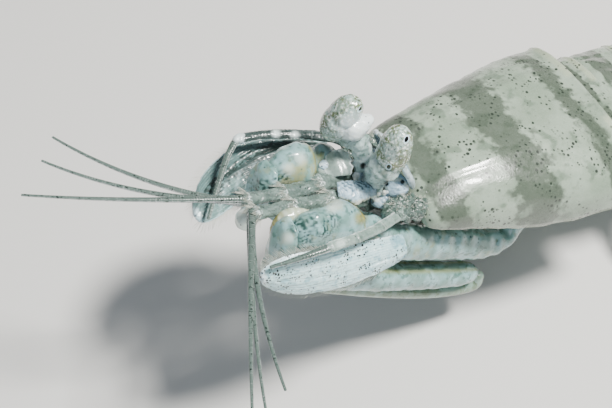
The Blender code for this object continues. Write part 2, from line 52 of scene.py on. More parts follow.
# Driving sizes, the same as the frame's.
GAP = 0.3
CARAPACE_FRONT, CARAPACE_LENGTH = -6.5, 47.5
THORAX_LENGTHS = (6.0, 12.7, 13.7, 13.7)
SOMITE_LENGTH, SOMITES = 17.7, 6
TELSON_LENGTH = 24.0
EYE_LENGTH, EYE_HALF_WIDTH = 11.2, 3.4
EYE_LEAN = {"left": (-0.05, 0.01, 1.0), "right": (-0.29, 0.14, 0.95)}
EYE_MIDDLE = {"left": (1.1, 4.2, 19.8), "right": (6.2, -6.6, 19.6)}
SCALE_WIDTH = 9.6
SCALE_POSE = {
    "left": {"groove": 0.12, "reach": 31.5, "tilt": (-52, -80), "side": (14.0, 14.8, 10.8), "height": (2.0, 1.9, 4.8)},
    "right": {"groove": 0.5, "reach": 33.0, "tilt": (50, 0), "side": (14.6, 21.4, 10.0), "height": (0.4, 0.4, -1.6)},
}
CLAW_SHIFT = {"left": (0.9, 2.4), "right": (-2.6, 2.2)}
TEETH = 8
# Each whip: length, heading at its root and tip in degrees to the left of ahead, and droop.
WHIPS = {
    "left": ((43.0, 59, 63, 2.0), (37.0, 61, 80, 2.0), (40.0, 60, 71, 4.0)),
    "right": ((40.0, -21, -30, 1.0), (38.0, -24, -54, 0.5), (38.0, -34, -62, -0.5)),
}
RING_SPACING = 0.5


# Places and curves


def from_head(points):
    """Head axes to the model's: turned nose-up about Y by the head's pitch, then carried to the head point."""
    x, y, z = np.moveaxis(points, -1, 0)
    cosine, sine = math.cos(HEAD_PITCH), math.sin(HEAD_PITCH)
    return np.stack([x * cosine - z * sine, y, x * sine + z * cosine], -1) + HEAD_POINT


def from_animal(points):
    """Body axes to the model's: only the head point's place ahead of the origin is added."""
    return points + np.array([HEAD_POINT[0], 0, 0])


def unit(vectors):
    return vectors / np.maximum(np.linalg.norm(vectors, axis=-1, keepdims=True), 1e-9)


def ease(low, high, value):
    """0 below low, 1 above high, and the smooth step 3t² - 2t³ between."""
    t = np.clip((value - low) / (high - low), 0, 1)
    return t * t * (3 - 2 * t)


def hump(value, middle, width):
    """A bell curve, 1 at its middle."""
    return np.exp(-(((value - middle) / width) ** 2))


def wavy(points, size, seed):
    """A smooth uneven value, mostly within 1 of 0: six sine waves of about this size in seeded directions."""
    random = np.random.default_rng(seed)
    waves = unit(random.normal(size=(6, 3))) * (2 * math.pi / size) * random.uniform(0.7, 1.5, (6, 1))
    return np.sin(points @ waves.T + random.uniform(0, 2 * math.pi, 6)).sum(-1) / 2.6


def spline(rows, place):
    """Catmull-Rom through the rows, read at places counted in rows."""
    rows = np.asarray(rows, float)
    padded = np.vstack([2 * rows[0] - rows[1], rows, 2 * rows[-1] - rows[-2]])
    index = np.clip(np.floor(place).astype(int), 0, len(rows) - 2)
    t = (place - index)[:, None]
    a, b, c, d = (padded[index + k] for k in range(4))
    return b + 0.5 * t * (c - a + t * (2 * a - 5 * b + 4 * c - d + t * (3 * (b - c) + d - a)))


def smooth(rows, count):
    """The rows' curve read at evenly spaced lengths along x, y and z."""
    rows = np.asarray(rows, float)
    steps = np.linalg.norm(np.diff(rows[:, :3], axis=0), axis=1)
    reach = np.concatenate([[0], np.cumsum(steps)])
    return spline(rows, np.interp(np.linspace(0, reach[-1], count), reach, np.arange(len(rows))))


# Shapes: closed grids of rings


class Shape:
    """Rings of points, closed at each end by a pole, with named values from 0 to 1 that its finish reads."""

    def __init__(self, grid, **values):
        self.grid = grid
        self.values = {name: np.broadcast_to(value, grid.shape[:2]) for name, value in values.items()}


def outward(grid):
    """Normals of a grid: its steps around its rings crossed with its steps along."""
    along = np.gradient(grid, axis=0)
    around = np.roll(grid, -1, 1) - np.roll(grid, 1, 1)
    return unit(np.cross(around, along))


def raised(grid, height):
    """The grid moved out along its normals."""
    return grid + outward(grid) * np.broadcast_to(height, grid.shape[:2])[..., None]


def angles(around):
    return np.arange(around) / around * 2 * math.pi


def swept(rows, count, around, flat=(0, 1, 0), square=1.0, bulge=0.35):
    """Ovals square to a path: rows are x, y, z, half width along `flat`, half height. The ends bulge a little."""
    path = smooth(rows, count)
    middle, wide, high = path[:, :3], path[:, 3], path[:, 4]
    ahead = unit(np.gradient(middle, axis=0))
    turn = np.linspace(0, math.pi / 2, 6)[1:-1]
    for end, sign in ((0, -1), (-1, 1)):
        swell = np.sin(turn)[:, None] * ahead[end] * sign * bulge * min(wide[end], high[end])
        caps = [middle[end] + swell, np.repeat(ahead[end][None], len(turn), 0)]
        caps += [wide[end] * np.cos(turn), high[end] * np.cos(turn)]
        order = slice(None, None, -1) if end == 0 else slice(None)
        joined = []
        for body, cap in zip((middle, ahead, wide, high), caps):
            joined.append(np.concatenate([cap[order], body] if end == 0 else [body, cap[order]]))
        middle, ahead, wide, high = joined
    across = unit(np.asarray(flat, float) - ahead * (ahead @ np.asarray(flat, float))[:, None])
    up = np.cross(ahead, across)
    angle = angles(around)
    cosine = np.sign(np.cos(angle)) * np.abs(np.cos(angle)) ** square
    sine = np.sign(np.sin(angle)) * np.abs(np.sin(angle)) ** square
    sideways = across[:, None] * (wide[:, None] * cosine)[..., None]
    upward = up[:, None] * (high[:, None] * sine)[..., None]
    return middle[:, None] + sideways + upward


def leaf(place, rings, around, thickness, start=0.0, end=1.0):
    """A thin closed plate: place(u, across) is its middle surface, and its section runs round its rim."""
    angle = angles(around)
    across = np.broadcast_to(np.cos(angle), (rings, around))
    u = np.broadcast_to(np.linspace(start, end, rings)[:, None], (rings, around))
    step = 0.004
    along = place(np.minimum(u + step, 1), across) - place(np.maximum(u - step, 0), across)
    sideways = place(u, np.minimum(across + step, 1)) - place(u, np.maximum(across - step, -1))
    normal = unit(np.cross(along, sideways))
    side = np.sin(angle)
    high = thickness / 2 * np.sign(side) * np.abs(side) ** 0.45
    return place(u, across) + normal * high[:, None]


def cones(bases, tips, radii, bend=(0, 0, 0), rings=6, around=8):
    """Curved spines: each a cone from its base to its tip, its middle pushed aside by `bend`."""
    shapes = []
    share = np.linspace(0, 1, rings)
    for base, tip, radius in zip(np.asarray(bases, float), np.asarray(tips, float), np.broadcast_to(radii, len(bases))):
        middle = base + (tip - base) * share[:, None] + np.asarray(bend, float) * (share * (1 - share) * 4)[:, None]
        ahead = unit(np.gradient(middle, axis=0))
        helper = np.array([0, 0, 1.0]) if abs(ahead[0][2]) < 0.9 else np.array([1.0, 0, 0])
        across = unit(np.cross(ahead, helper))
        up = np.cross(ahead, across)
        size = (radius * (1 - share) ** 0.8 + 0.04)[:, None, None]
        angle = angles(around)
        ring = across[:, None] * np.cos(angle)[:, None] + up[:, None] * np.sin(angle)[:, None]
        shapes.append(Shape(middle[:, None] + ring * size, tip=share[:, None]))
    return shapes


def lump(middle, radii, seed=0, rough=0.0, rings=24, around=36):
    """An oval knob: a ball stretched by its three radii, made uneven by `rough`."""
    polar = np.linspace(0, math.pi, rings + 2)[1:-1, None]
    angle = angles(around)
    round_ = np.stack(
        [np.sin(polar) * np.cos(angle), np.sin(polar) * np.sin(angle), np.broadcast_to(-np.cos(polar), (rings, around))],
        -1,
    )
    grid = np.asarray(middle, float) + round_ * np.asarray(radii, float)
    return raised(grid, wavy(grid, 1.6, seed) * rough)


def spotted(grid, centres, radius):
    """1 within a radius of any of the centres, fading to 0 over the next half radius."""
    distance = np.linalg.norm(grid[..., None, :] - np.asarray(centres, float), axis=-1).min(-1)
    return 1 - ease(radius, 1.5 * radius, distance)


# Meshes


def corners_of(rings, around):
    """The corner numbers of the quads between rings, then of the two fans to the poles."""
    ring, point = np.meshgrid(np.arange(rings - 1), np.arange(around), indexing="ij")
    here = ring * around + point
    beside = ring * around + (point + 1) % around
    quads = np.stack([here, beside, beside + around, here + around], -1).reshape(-1, 4)
    point = np.arange(around)
    beside = (point + 1) % around
    last = (rings - 1) * around
    near = np.stack([np.full(around, rings * around), beside, point], -1)
    far = np.stack([np.full(around, rings * around + 1), last + point, last + beside], -1)
    return quads, np.vstack([near, far])


def volume(points, quads, fans):
    """Six times the volume inside, positive when the faces point out."""
    triangles = np.vstack([quads[:, :3], quads[:, [0, 2, 3]], fans])
    a, b, c = (points[triangles[:, k]] for k in range(3))
    return (a * np.cross(b, c)).sum()


def mesh_from(name, points, faces):
    """A mesh from an array of points in millimetres and a list of arrays of faces, each with one corner count."""
    mesh = bpy.data.meshes.new(name)
    corners = np.concatenate([part.ravel() for part in faces])
    sizes = np.concatenate([np.full(len(part), part.shape[1]) for part in faces])
    mesh.vertices.add(len(points))
    mesh.vertices.foreach_set("co", (points * MM).ravel())
    mesh.loops.add(len(corners))
    mesh.loops.foreach_set("vertex_index", corners)
    mesh.polygons.add(len(sizes))
    mesh.polygons.foreach_set("loop_start", np.concatenate([[0], np.cumsum(sizes)[:-1]]))
    mesh.update(calc_edges=True)
    mesh.validate()
    mesh.shade_smooth()
    return mesh


def add_piece(name, mesh, finish, nodes):
    piece = bpy.data.objects.new(name, mesh)
    bpy.context.scene.collection.objects.link(piece)
    mesh.materials.append(finish)
    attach(piece, "root")
    if nodes:
        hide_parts(*nodes)
    return piece


def build(name, shapes, finish, nodes=(), place=from_head):
    """One piece from one or more closed shapes, each turned to face out, with its named values as attributes."""
    points, quads, fans = [], [], []
    names = sorted({value for shape in shapes for value in shape.values})
    values = {value: [] for value in names}
    first = 0
    for shape in shapes:
        grid = place(shape.grid)
        rings, around = grid.shape[:2]
        here = np.vstack([grid.reshape(-1, 3), grid[[0, -1]].mean(1)])
        four, three = corners_of(rings, around)
        if volume(here, four, three) < 0:
            four, three = four[:, ::-1], three[:, ::-1]
        points.append(here)
        quads.append(four + first)
        fans.append(three + first)
        for value in names:
            field = shape.values.get(value, np.zeros((rings, around)))
            values[value].append(np.concatenate([field.ravel(), field[[0, -1]].mean(1)]))
        first += len(here)
    mesh = mesh_from(name, np.vstack(points), [np.vstack(quads), np.vstack(fans)])
    for value in names:
        mesh.attributes.new(value, "FLOAT", "POINT").data.foreach_set("value", np.concatenate(values[value]))
    return add_piece(name, mesh, finish, nodes)


def bristles(name, roots, aims, lengths, thickness, places, finish, place=from_head, bend=0.18):
    """Hairs as thin three-sided blades: each leaves its root along its aim, bends a little and ends in a point.

    Each hair is one small patch of the OFBake map, round its root's place in `places`, the unwrap of its plate.
    """
    rings, around, patch = 4, 3, 0.003
    random = np.random.default_rng(len(roots))
    share = np.linspace(0, 1, rings)
    aims = unit(aims + random.normal(scale=0.06, size=aims.shape))
    sideways = unit(np.cross(aims, [0.31, 0.42, 0.85]))
    up = np.cross(aims, sideways)
    lengths = lengths * random.uniform(0.85, 1.1, len(roots))
    sway = random.uniform(-bend, bend, len(roots))[:, None] * up
    along = aims[:, None] * share[:, None] + sway[:, None] * (share**2)[:, None]
    spine = roots[:, None] + along * lengths[:, None, None]
    angle = angles(around)
    ring = sideways[:, None, None] * np.cos(angle)[:, None] + up[:, None, None] * np.sin(angle)[:, None]
    size = thickness / 2 * (1 - 0.8 * share)[:, None, None]
    points = (spine[:, :, None] + ring * size).reshape(len(roots), -1, 3)
    quads, fans = corners_of(rings, around)
    points = np.concatenate([points, points[:, :around].mean(1)[:, None], spine[:, -1:]], 1)
    count = points.shape[1]
    first = (np.arange(len(roots)) * count)[:, None, None]
    if volume(points[0], quads, fans) < 0:
        quads, fans = quads[:, ::-1], fans[:, ::-1]
    faces = [(quads + first).reshape(-1, 4), (fans + first).reshape(-1, 3)]
    mesh = mesh_from(name, place(points.reshape(-1, 3)), faces)
    owner = np.concatenate([part.ravel() // count for part in faces])
    within = np.concatenate([part.ravel() % count for part in faces])
    spread = np.stack([within % around - 1, within // around - rings / 2], -1) * (patch / (rings + 2))
    layer = mesh.uv_layers.new(name="OFBake")
    layer.data.foreach_set("uv", (places[owner] * 0.98 + 0.01 + spread).ravel())
    return add_piece(name, mesh, finish, ())


def fringe_of(place, start, end, sides, spacing, forward):
    """Roots and aims of the hairs along a leaf's rim: out from its edge, leaning towards its tip."""
    roots, aims, places = [], [], []
    for side in sides:
        fine = np.linspace(start, end, 400)
        line = place(fine, np.full(fine.shape, float(side)))
        reach = np.concatenate([[0], np.cumsum(np.linalg.norm(np.diff(line, axis=0), axis=1))])
        u = np.interp(np.arange(0, reach[-1], spacing), reach, fine)
        edge = place(u, np.full(u.shape, float(side)))
        out = unit(edge - place(u, np.full(u.shape, 0.8 * side)))
        along = unit(place(np.minimum(u + 0.01, 1), np.full(u.shape, 0.8 * side)) - place(u, np.full(u.shape, 0.8 * side)))
        roots.append(edge)
        aims.append(unit(out + along * forward))
        places.append(np.stack([u, np.full(u.shape, 0.5 + 0.45 * side)], -1))
    return np.vstack(roots), np.vstack(aims), np.vstack(places)


# Finishes


def linear(code):
    """An sRGB hex colour as linear red, green, blue and alpha."""
    parts = [int(code[k : k + 2], 16) / 255 for k in (1, 3, 5)]
    return (*(c / 12.92 if c <= 0.04045 else ((c + 0.055) / 1.055) ** 2.4 for c in parts), 1)


def add(tree, kind, inputs, **settings):
    """Adds a node: settings are its properties, and inputs are values or the sockets that feed it."""
    made = tree.nodes.new(kind)
    for name, value in settings.items():
        setattr(made, name, value)
    for name, value in inputs.items():
        if isinstance(value, bpy.types.NodeSocket):
            tree.links.new(value, made.inputs[name])
        else:
            made.inputs[name].default_value = value
    return made


def new_finish(name):
    finish = bpy.data.materials.new(name)
    finish.use_nodes = True
    tree = finish.node_tree
    coords = tree.nodes.new("ShaderNodeTexCoord").outputs["Object"]
    return finish, tree, tree.nodes["Principled BSDF"], coords


def chitin(name, colours, sizes, gloss=(0.2, 0.42), clear=0.12, pits=0.25):
    """Living chitin: a thin clear skin over pale flesh, so light spreads softly in it, with grains of pigment.

    Colours: ground, cloud, blot, dot, rim, band, spot. Sizes in millimetres: cloud, blot, dot spacing, dot radius.
    Clouds and blots are the soft pigment under the skin, dots the single dark pigment cells near its surface.
    """
    finish, tree, shader, coords = new_finish(name)

    def noise(size, detail, low, high):
        made = add(tree, "ShaderNodeTexNoise", {"Vector": coords, "Scale": 1 / (size * MM), "Detail": detail})
        limits = {"Value": made.outputs["Fac"], "From Min": low, "From Max": high}
        return add(tree, "ShaderNodeMapRange", limits, interpolation_type="SMOOTHSTEP").outputs["Result"]

    def times(a, b, operation="MULTIPLY"):
        return add(tree, "ShaderNodeMath", {0: a, 1: b}, operation=operation).outputs["Value"]

    def value(label):
        return add(tree, "ShaderNodeAttribute", {}, attribute_name=label).outputs["Fac"]

    cloud_size, blot_size, dot_spacing, dot_radius = sizes
    cells = add(tree, "ShaderNodeTexVoronoi", {"Vector": coords, "Scale": 1 / (dot_spacing * MM)})
    random_cell = add(tree, "ShaderNodeSeparateColor", {"Color": cells.outputs["Color"]})
    # The Voronoi's distance is in cells, so a dot's radius is given as a share of the spacing.
    radius = times(random_cell.outputs["Red"], dot_radius / dot_spacing)
    edge = {"Value": times(cells.outputs["Distance"], radius, "SUBTRACT"), "From Min": 0.06, "From Max": -0.04}
    dot = add(tree, "ShaderNodeMapRange", edge).outputs["Result"]
    dot = times(dot, noise(dot_spacing * 5, 1, 0.40, 0.58))
    ragged = times(times(noise(2.6, 4, 0.3, 0.7), 0.5), value("band"), "ADD")
    band = add(tree, "ShaderNodeMapRange", {"Value": ragged, "From Min": 0.68, "From Max": 0.95}).outputs["Result"]
    layers = (
        (noise(cloud_size, 3, 0.38, 0.66), colours["cloud"]),
        (times(noise(blot_size, 2, 0.54, 0.66), 0.75), colours["blot"]),
        (times(band, 0.8), colours["band"]),
        (value("rim"), colours["rim"]),
        # The milky layer also carries painted highlights.
        (value("milk"), colours.get("milk", colours["rim"])),
        (dot, colours["dot"]),
        # The darkest layer also carries painted shade in a few places.
        (value("spot"), colours["spot"]),
    )
    colour = linear(colours["ground"])
    for mask, layer in layers:
        inputs = {"Fac": mask, "Color1": colour, "Color2": linear(layer)}
        colour = add(tree, "ShaderNodeMixRGB", inputs).outputs["Color"]
    tree.links.new(colour, shader.inputs["Base Color"])
    wet = {"Value": noise(1.1, 3, 0.3, 0.7), "To Min": gloss[0], "To Max": gloss[1]}
    tree.links.new(add(tree, "ShaderNodeMapRange", wet).outputs["Result"], shader.inputs["Roughness"])
    # Pores and fine wrinkles of the skin, about a third of a millimetre, drawn as coarse as the picture shows.
    grain = add(tree, "ShaderNodeTexNoise", {"Vector": coords, "Scale": 1 / (0.45 * MM), "Detail": 4.0})
    bump = {"Height": grain.outputs["Fac"], "Strength": pits, "Distance": 0.2 * MM}
    tree.links.new(add(tree, "ShaderNodeBump", bump).outputs["Normal"], shader.inputs["Normal"])
    shader.inputs["Subsurface Weight"].default_value = clear
    shader.inputs["Subsurface Radius"].default_value = (1.0, 0.95, 0.8)
    shader.inputs["Subsurface Scale"].default_value = 1.4 * MM
    shader.inputs["IOR"].default_value = 1.5
    shader.inputs["Coat Weight"].default_value = 0.5
    shader.inputs["Coat Roughness"].default_value = 0.08
    return finish


def cornea_finish():
    """Wet cornea: a pearly grey-cream lens skin of tiny facets, olive mottled, with black false pupils."""
    finish, tree, shader, coords = new_finish("cornea, wet faceted lens skin")
    facets = add(tree, "ShaderNodeTexVoronoi", {"Vector": coords, "Scale": 1 / (0.32 * MM)})
    mottle = add(tree, "ShaderNodeTexNoise", {"Vector": coords, "Scale": 1 / (1.6 * MM), "Detail": 4.0})
    patch = {"Value": mottle.outputs["Fac"], "From Min": 0.42, "From Max": 0.6}
    olive = add(tree, "ShaderNodeMapRange", patch).outputs["Result"]
    fine = add(tree, "ShaderNodeTexNoise", {"Vector": coords, "Scale": 1 / (0.5 * MM), "Detail": 2.0})
    speck = {"Value": fine.outputs["Fac"], "From Min": 0.59, "From Max": 0.72}
    specks = add(tree, "ShaderNodeMapRange", speck).outputs["Result"]
    shade = add(tree, "ShaderNodeAttribute", {}, attribute_name="shade").outputs["Fac"]
    pupil = add(tree, "ShaderNodeAttribute", {}, attribute_name="pupil").outputs["Fac"]
    halo = add(tree, "ShaderNodeMapRange", {"Value": pupil, "From Min": 0.3, "From Max": 0.5}).outputs["Result"]
    black = add(tree, "ShaderNodeMapRange", {"Value": pupil, "From Min": 0.62, "From Max": 0.7}).outputs["Result"]
    # Painted light: the pearly glow of the lobe through the skin.
    pearl = add(tree, "ShaderNodeAttribute", {}, attribute_name="pearl").outputs["Fac"]
    beads = add(tree, "ShaderNodeMapRange", {"Value": fine.outputs["Fac"], "From Min": 0.46, "From Max": 0.36})
    colour = linear("#9eb4ae")
    for mask, layer in (
        (olive, "#66734f"),
        (beads.outputs["Result"], "#dfe8e2"),
        (specks, "#48574f"),
        (pearl, "#dfeef0"),
        (shade, "#5a5a4f"),
        (halo, "#cee9f2"),
        (black, "#020403"),
    ):
        inputs = {"Fac": mask, "Color1": colour, "Color2": linear(layer)}
        colour = add(tree, "ShaderNodeMixRGB", inputs).outputs["Color"]
    tree.links.new(colour, shader.inputs["Base Color"])
    bump = {"Height": facets.outputs["Distance"], "Strength": 0.22, "Distance": 0.12 * MM}
    tree.links.new(add(tree, "ShaderNodeBump", bump).outputs["Normal"], shader.inputs["Normal"])
    shader.inputs["Roughness"].default_value = 0.24
    shader.inputs["IOR"].default_value = 1.4
    shader.inputs["Coat Weight"].default_value = 0.6
    shader.inputs["Coat Roughness"].default_value = 0.06
    shader.inputs["Subsurface Weight"].default_value = 0.1
    shader.inputs["Subsurface Scale"].default_value = 0.6 * MM
    return finish


def whip_finish():
    """Clear ringed feeler: thin hollow chitin rings, glassy grey between white joints, with a few dark flecks."""
    finish, tree, shader, coords = new_finish("feeler, clear ringed chitin")
    # The ring value also carries painted light: pale lines along both sides of each feeler.
    rings = add(tree, "ShaderNodeAttribute", {}, attribute_name="ring").outputs["Fac"]
    noise = add(tree, "ShaderNodeTexNoise", {"Vector": coords, "Scale": 1 / (0.8 * MM), "Detail": 2.0})
    uneven = add(tree, "ShaderNodeMath", {0: rings, 1: noise.outputs["Fac"]}, operation="MULTIPLY")
    white = {"Value": uneven.outputs["Value"], "From Min": 0.18, "From Max": 0.4}
    joint = add(tree, "ShaderNodeMapRange", white).outputs["Result"]
    mix = {"Fac": joint, "Color1": linear("#64766f"), "Color2": linear("#edf4f3")}
    wall = add(tree, "ShaderNodeMixRGB", mix).outputs["Color"]
    grains = add(tree, "ShaderNodeTexNoise", {"Vector": coords, "Scale": 1 / (0.5 * MM), "Detail": 1.0})
    dark = {"Value": grains.outputs["Fac"], "From Min": 0.62, "From Max": 0.68}
    fleck = {"Fac": add(tree, "ShaderNodeMapRange", dark).outputs["Result"], "Color1": wall, "Color2": linear("#26332f")}
    tree.links.new(add(tree, "ShaderNodeMixRGB", fleck).outputs["Color"], shader.inputs["Base Color"])
    shader.inputs["Roughness"].default_value = 0.25
    shader.inputs["Transmission Weight"].default_value = 0.35
    shader.inputs["IOR"].default_value = 1.4
    shader.inputs["Coat Weight"].default_value = 0.4
    shader.inputs["Coat Roughness"].default_value = 0.1
    return finish


def hair_finish():
    """Setae: clear horny hairs, pale straw against the light."""
    finish, tree, shader, coords = new_finish("setae, clear horny hair")
    noise = add(tree, "ShaderNodeTexNoise", {"Vector": coords, "Scale": 1 / (3.0 * MM), "Detail": 1.0})
    mix = {"Fac": noise.outputs["Fac"], "Color1": linear("#b9bfb0"), "Color2": linear("#e6e8dc")}
    tree.links.new(add(tree, "ShaderNodeMixRGB", mix).outputs["Color"], shader.inputs["Base Color"])
    shader.inputs["Roughness"].default_value = 0.4
    shader.inputs["IOR"].default_value = 1.5
    return finish


BODY_COLOURS = {
    "ground": "#9baa99",
    "cloud": "#869684",
    "blot": "#687968",
    "dot": "#2c352d",
    "rim": "#b2bb9f",
    "band": "#404a3e",
    "spot": "#20271f",
}
CARAPACE = chitin("carapace chitin, pale and speckled", BODY_COLOURS, (9.0, 3.6, 0.85, 0.36))
TERGITE = chitin("body ring chitin, banded", BODY_COLOURS, (8.0, 3.2, 0.85, 0.36))
LIMB = chitin(
    "limb chitin, clear grey-green",
    {
        "ground": "#5a6c66",
        "cloud": "#758881",
        "blot": "#44544e",
        "dot": "#2b3a37",
        "rim": "#d3e1e0",
        "band": "#222e2f",
        "spot": "#14211e",
    },
    (2.6, 1.5, 0.8, 0.22),
    clear=0.4,
)
CLEAR_LIMB = chitin(
    "limb chitin, clear and pale",
    {
        "ground": "#6f857d",
        "cloud": "#8fa39b",
        "blot": "#55685f",
        "dot": "#2b3a37",
        "rim": "#e2efeb",
        "band": "#60716a",
        "spot": "#14211e",
    },
    (2.6, 1.5, 0.8, 0.16),
    clear=0.4,
)
STALK = chitin(
    "eyestalk chitin, greenish white",
    {
        "ground": "#92aaa6",
        "cloud": "#b8cdcb",
        "blot": "#617a70",
        "dot": "#3d5257",
        "rim": "#e6f0f0",
        "band": "#7b8378",
        "spot": "#12211d",
    },
    (2.0, 1.2, 0.9, 0.2),
    clear=0.3,
    pits=0.35,
)
BLUE_WHITE = chitin(
    "head lobe chitin, bluish white",
    {
        "ground": "#9db8c8",
        "cloud": "#c2dcec",
        "blot": "#64808f",
        "dot": "#3d5661",
        "rim": "#e8e9d9",
        "band": "#44606f",
        "spot": "#0f1c1a",
    },
    (2.2, 1.2, 0.9, 0.2),
    clear=0.35,
    pits=0.3,
)
ROUGH = chitin(
    "antenna base chitin, rough grey-green",
    {
        "ground": "#3f524b",
        "cloud": "#5c7068",
        "blot": "#28382f",
        "dot": "#22302a",
        "rim": "#d5e0d4",
        "band": "#374742",
        "spot": "#131c19",
    },
    (1.3, 0.9, 0.6, 0.2),
    pits=0.8,
)
SCALE_LEFT = chitin(
    "antennal scale chitin, mint white with black cells",
    {
        "ground": "#cdefef",
        "cloud": "#b4dade",
        "blot": "#84b4be",
        "dot": "#0e1516",
        "rim": "#dff6fa",
        "band": "#6697a6",
        "spot": "#1d2a28",
    },
    (3.0, 1.6, 0.46, 0.26),
    clear=0.3,
    pits=0.4,
)
SCALE_RIGHT = chitin(
    "antennal scale chitin, smooth grey-green",
    {
        "ground": "#688785",
        "cloud": "#566f6d",
        "blot": "#718d89",
        "dot": "#26332f",
        "rim": "#b7d3d8",
        "band": "#17231f",
        "spot": "#26332f",
    },
    (4.2, 2.2, 0.6, 0.16),
    gloss=(0.36, 0.5),
    clear=0.3,
    pits=0.15,
)
CLAW = chitin(
    "claw chitin, bluish white with green clouds",
    {
        "ground": "#739791",
        "cloud": "#95bbbd",
        "blot": "#4d726b",
        "dot": "#38575a",
        "rim": "#948a2c",
        "band": "#a3a473",
        "spot": "#1c3a35",
        "milk": "#dde9df",
    },
    (3.4, 1.4, 1.6, 0.3),
    gloss=(0.14, 0.28),
    clear=0.4,
    pits=0.08,
)
FAN = chitin(
    "tail fan chitin, dusky and speckled",
    {**BODY_COLOURS, "ground": "#899682", "cloud": "#73826e", "blot": "#5b6855"},
    (5.0, 2.2, 0.8, 0.34),
)
CORNEA = cornea_finish()
WHIP = whip_finish()
HAIR = hair_finish()


# The body


def arched(x, half, top, low, around, shoulder=0.42, round_top=0.8, round_low=0.55):
    """Rings of the body's section: half an oval above its widest line and a flatter, boxier one below.

    Also gives the sine round each ring and how deep each point is below the widest line, from 0 to 1.
    """
    angle = angles(around)
    rise, aside = np.sin(angle), np.cos(angle)
    power = np.where(rise >= 0, round_top, round_low)
    sideways = np.sign(aside) * np.abs(aside) ** power
    depth = np.abs(rise) ** power
    widest = low + (top - low) * shoulder
    reach = np.where(rise >= 0, (top - widest)[:, None], (low - widest)[:, None])
    grid = np.stack(
        [np.broadcast_to(x[:, None], reach.shape), half[:, None] * sideways, widest[:, None] + reach * depth], -1
    )
    return grid, rise, np.where(rise < 0, depth, 0)


def flap(grid, depth, hang, inset):
    """Pulls the belly in under the hanging edge of the shell, so that the edge stands free of it."""
    under = ease(hang, hang + 0.12, depth)
    pulled = grid.copy()
    width = np.abs(grid[..., 1]).max(1, keepdims=True)
    pulled[..., 1] *= 1 - under * inset / width
    return pulled, under


def lengths_along(length, overlap, fine, coarse):
    """Places behind the front edge: close together near both edges, wider apart between."""
    front = np.linspace(0, 2.4, fine)
    middle = np.linspace(2.4, length - 2.2, coarse)[1:-1]
    return np.concatenate([front, middle, np.linspace(length - 2.2, length + overlap, fine)])


OVERLAP, LIP = 0.9, 0.55
AROUND_BODY = 132


def shell_ring(front, length, rows_at, shoulder, hang, relief, overlap=OVERLAP, inset=1.3):
    """One body ring: tucked in at its front edge, a rolled lip over the next ring behind, and a soft belly.

    rows_at gives half width, top and underside at shares of the length, and relief adds to its surface.
    """
    back = lengths_along(length, overlap, 9, 22)
    share = np.clip(back / length, 0, 1)
    half, top, low = rows_at(share).T
    tuck = 1.25 * np.exp(-back / 0.9) - 0.12 * ease(0.5, 0.9, share) - 0.16 * hump(back, length + overlap - 0.45, 0.3)
    # The edge of the lip turns in, and a last ring closes it under the shell.
    back = np.concatenate([back, [back[-1], back[-1] - 1.3]])
    half, top, low = (np.concatenate([v, v[-1:], v[-1:]]) for v in (half, top, low))
    tuck = np.concatenate([tuck, [tuck[-1] + LIP, tuck[-1] + LIP + 0.5]])
    grid, rise, depth = arched(front - back, half - tuck, top - tuck * 0.9, low + 0.12, AROUND_BODY, shoulder)
    grid, under = flap(grid, depth, hang, inset)
    upper = 1 - ease(0.0, 0.2, depth)
    share = np.clip(back / length, 0, 1)[:, None]
    grid[..., 0] -= 0.9 * ease(0.4, 1.0, share) * hump(depth, hang, 0.35) * (rise < 0.2)
    inner = ease(0.06, 0.14, share) * (1 - ease(0.88, 0.94, share))
    height = relief(grid, share) * inner * (1 - under) + 0.05 * wavy(grid, 3.0, 5)
    grid = raised(grid, height)
    bands = ease(0.1, 0.3, share) * (1 - ease(0.52, 0.78, share)) + 0.7 * hump(share, 0.93, 0.035)
    fade = 0.72 + 0.28 * np.abs(np.sin(2.1 * angles(AROUND_BODY)))
    lip = hump(share * length, length, 0.7) * 0.55 + 0.5 * hump(depth, hang + 0.01, 0.06)
    return Shape(grid, band=bands * upper * fade, rim=np.clip(lip * (1 - under), 0, 1) * (rise < 0.98))


THORAX_JOINTS = (
    (15.0, 41.0, 28.6),
    (16.6, 39.0, 26.4),
    (18.0, 34.0, 21.0),
    (19.0, 29.2, 15.2),
    (20.0, 26.4, 10.6),
)
ABDOMEN_JOINTS = (
    (20.2, 26.2, 10.2),
    (21.6, 26.0, 8.2),
    (22.6, 25.6, 7.6),
    (23.0, 25.0, 7.4),
    (22.8, 24.2, 7.4),
    (21.8, 23.0, 7.4),
    (19.6, 20.8, 7.6),
)
CARAPACE_ROWS = (
    (0.00, 12.6, 49.0, 43.6),
    (0.06, 13.6, 50.2, 41.6),
    (0.22, 15.2, 51.2, 37.0),
    (0.42, 17.4, 50.8, 31.4),
    (0.62, 19.4, 48.6, 28.8),
    (0.82, 20.8, 45.8, 28.4),
    (0.97, 21.0, 43.2, 27.8),
    (1.00, 20.0, 42.2, 28.2),
)


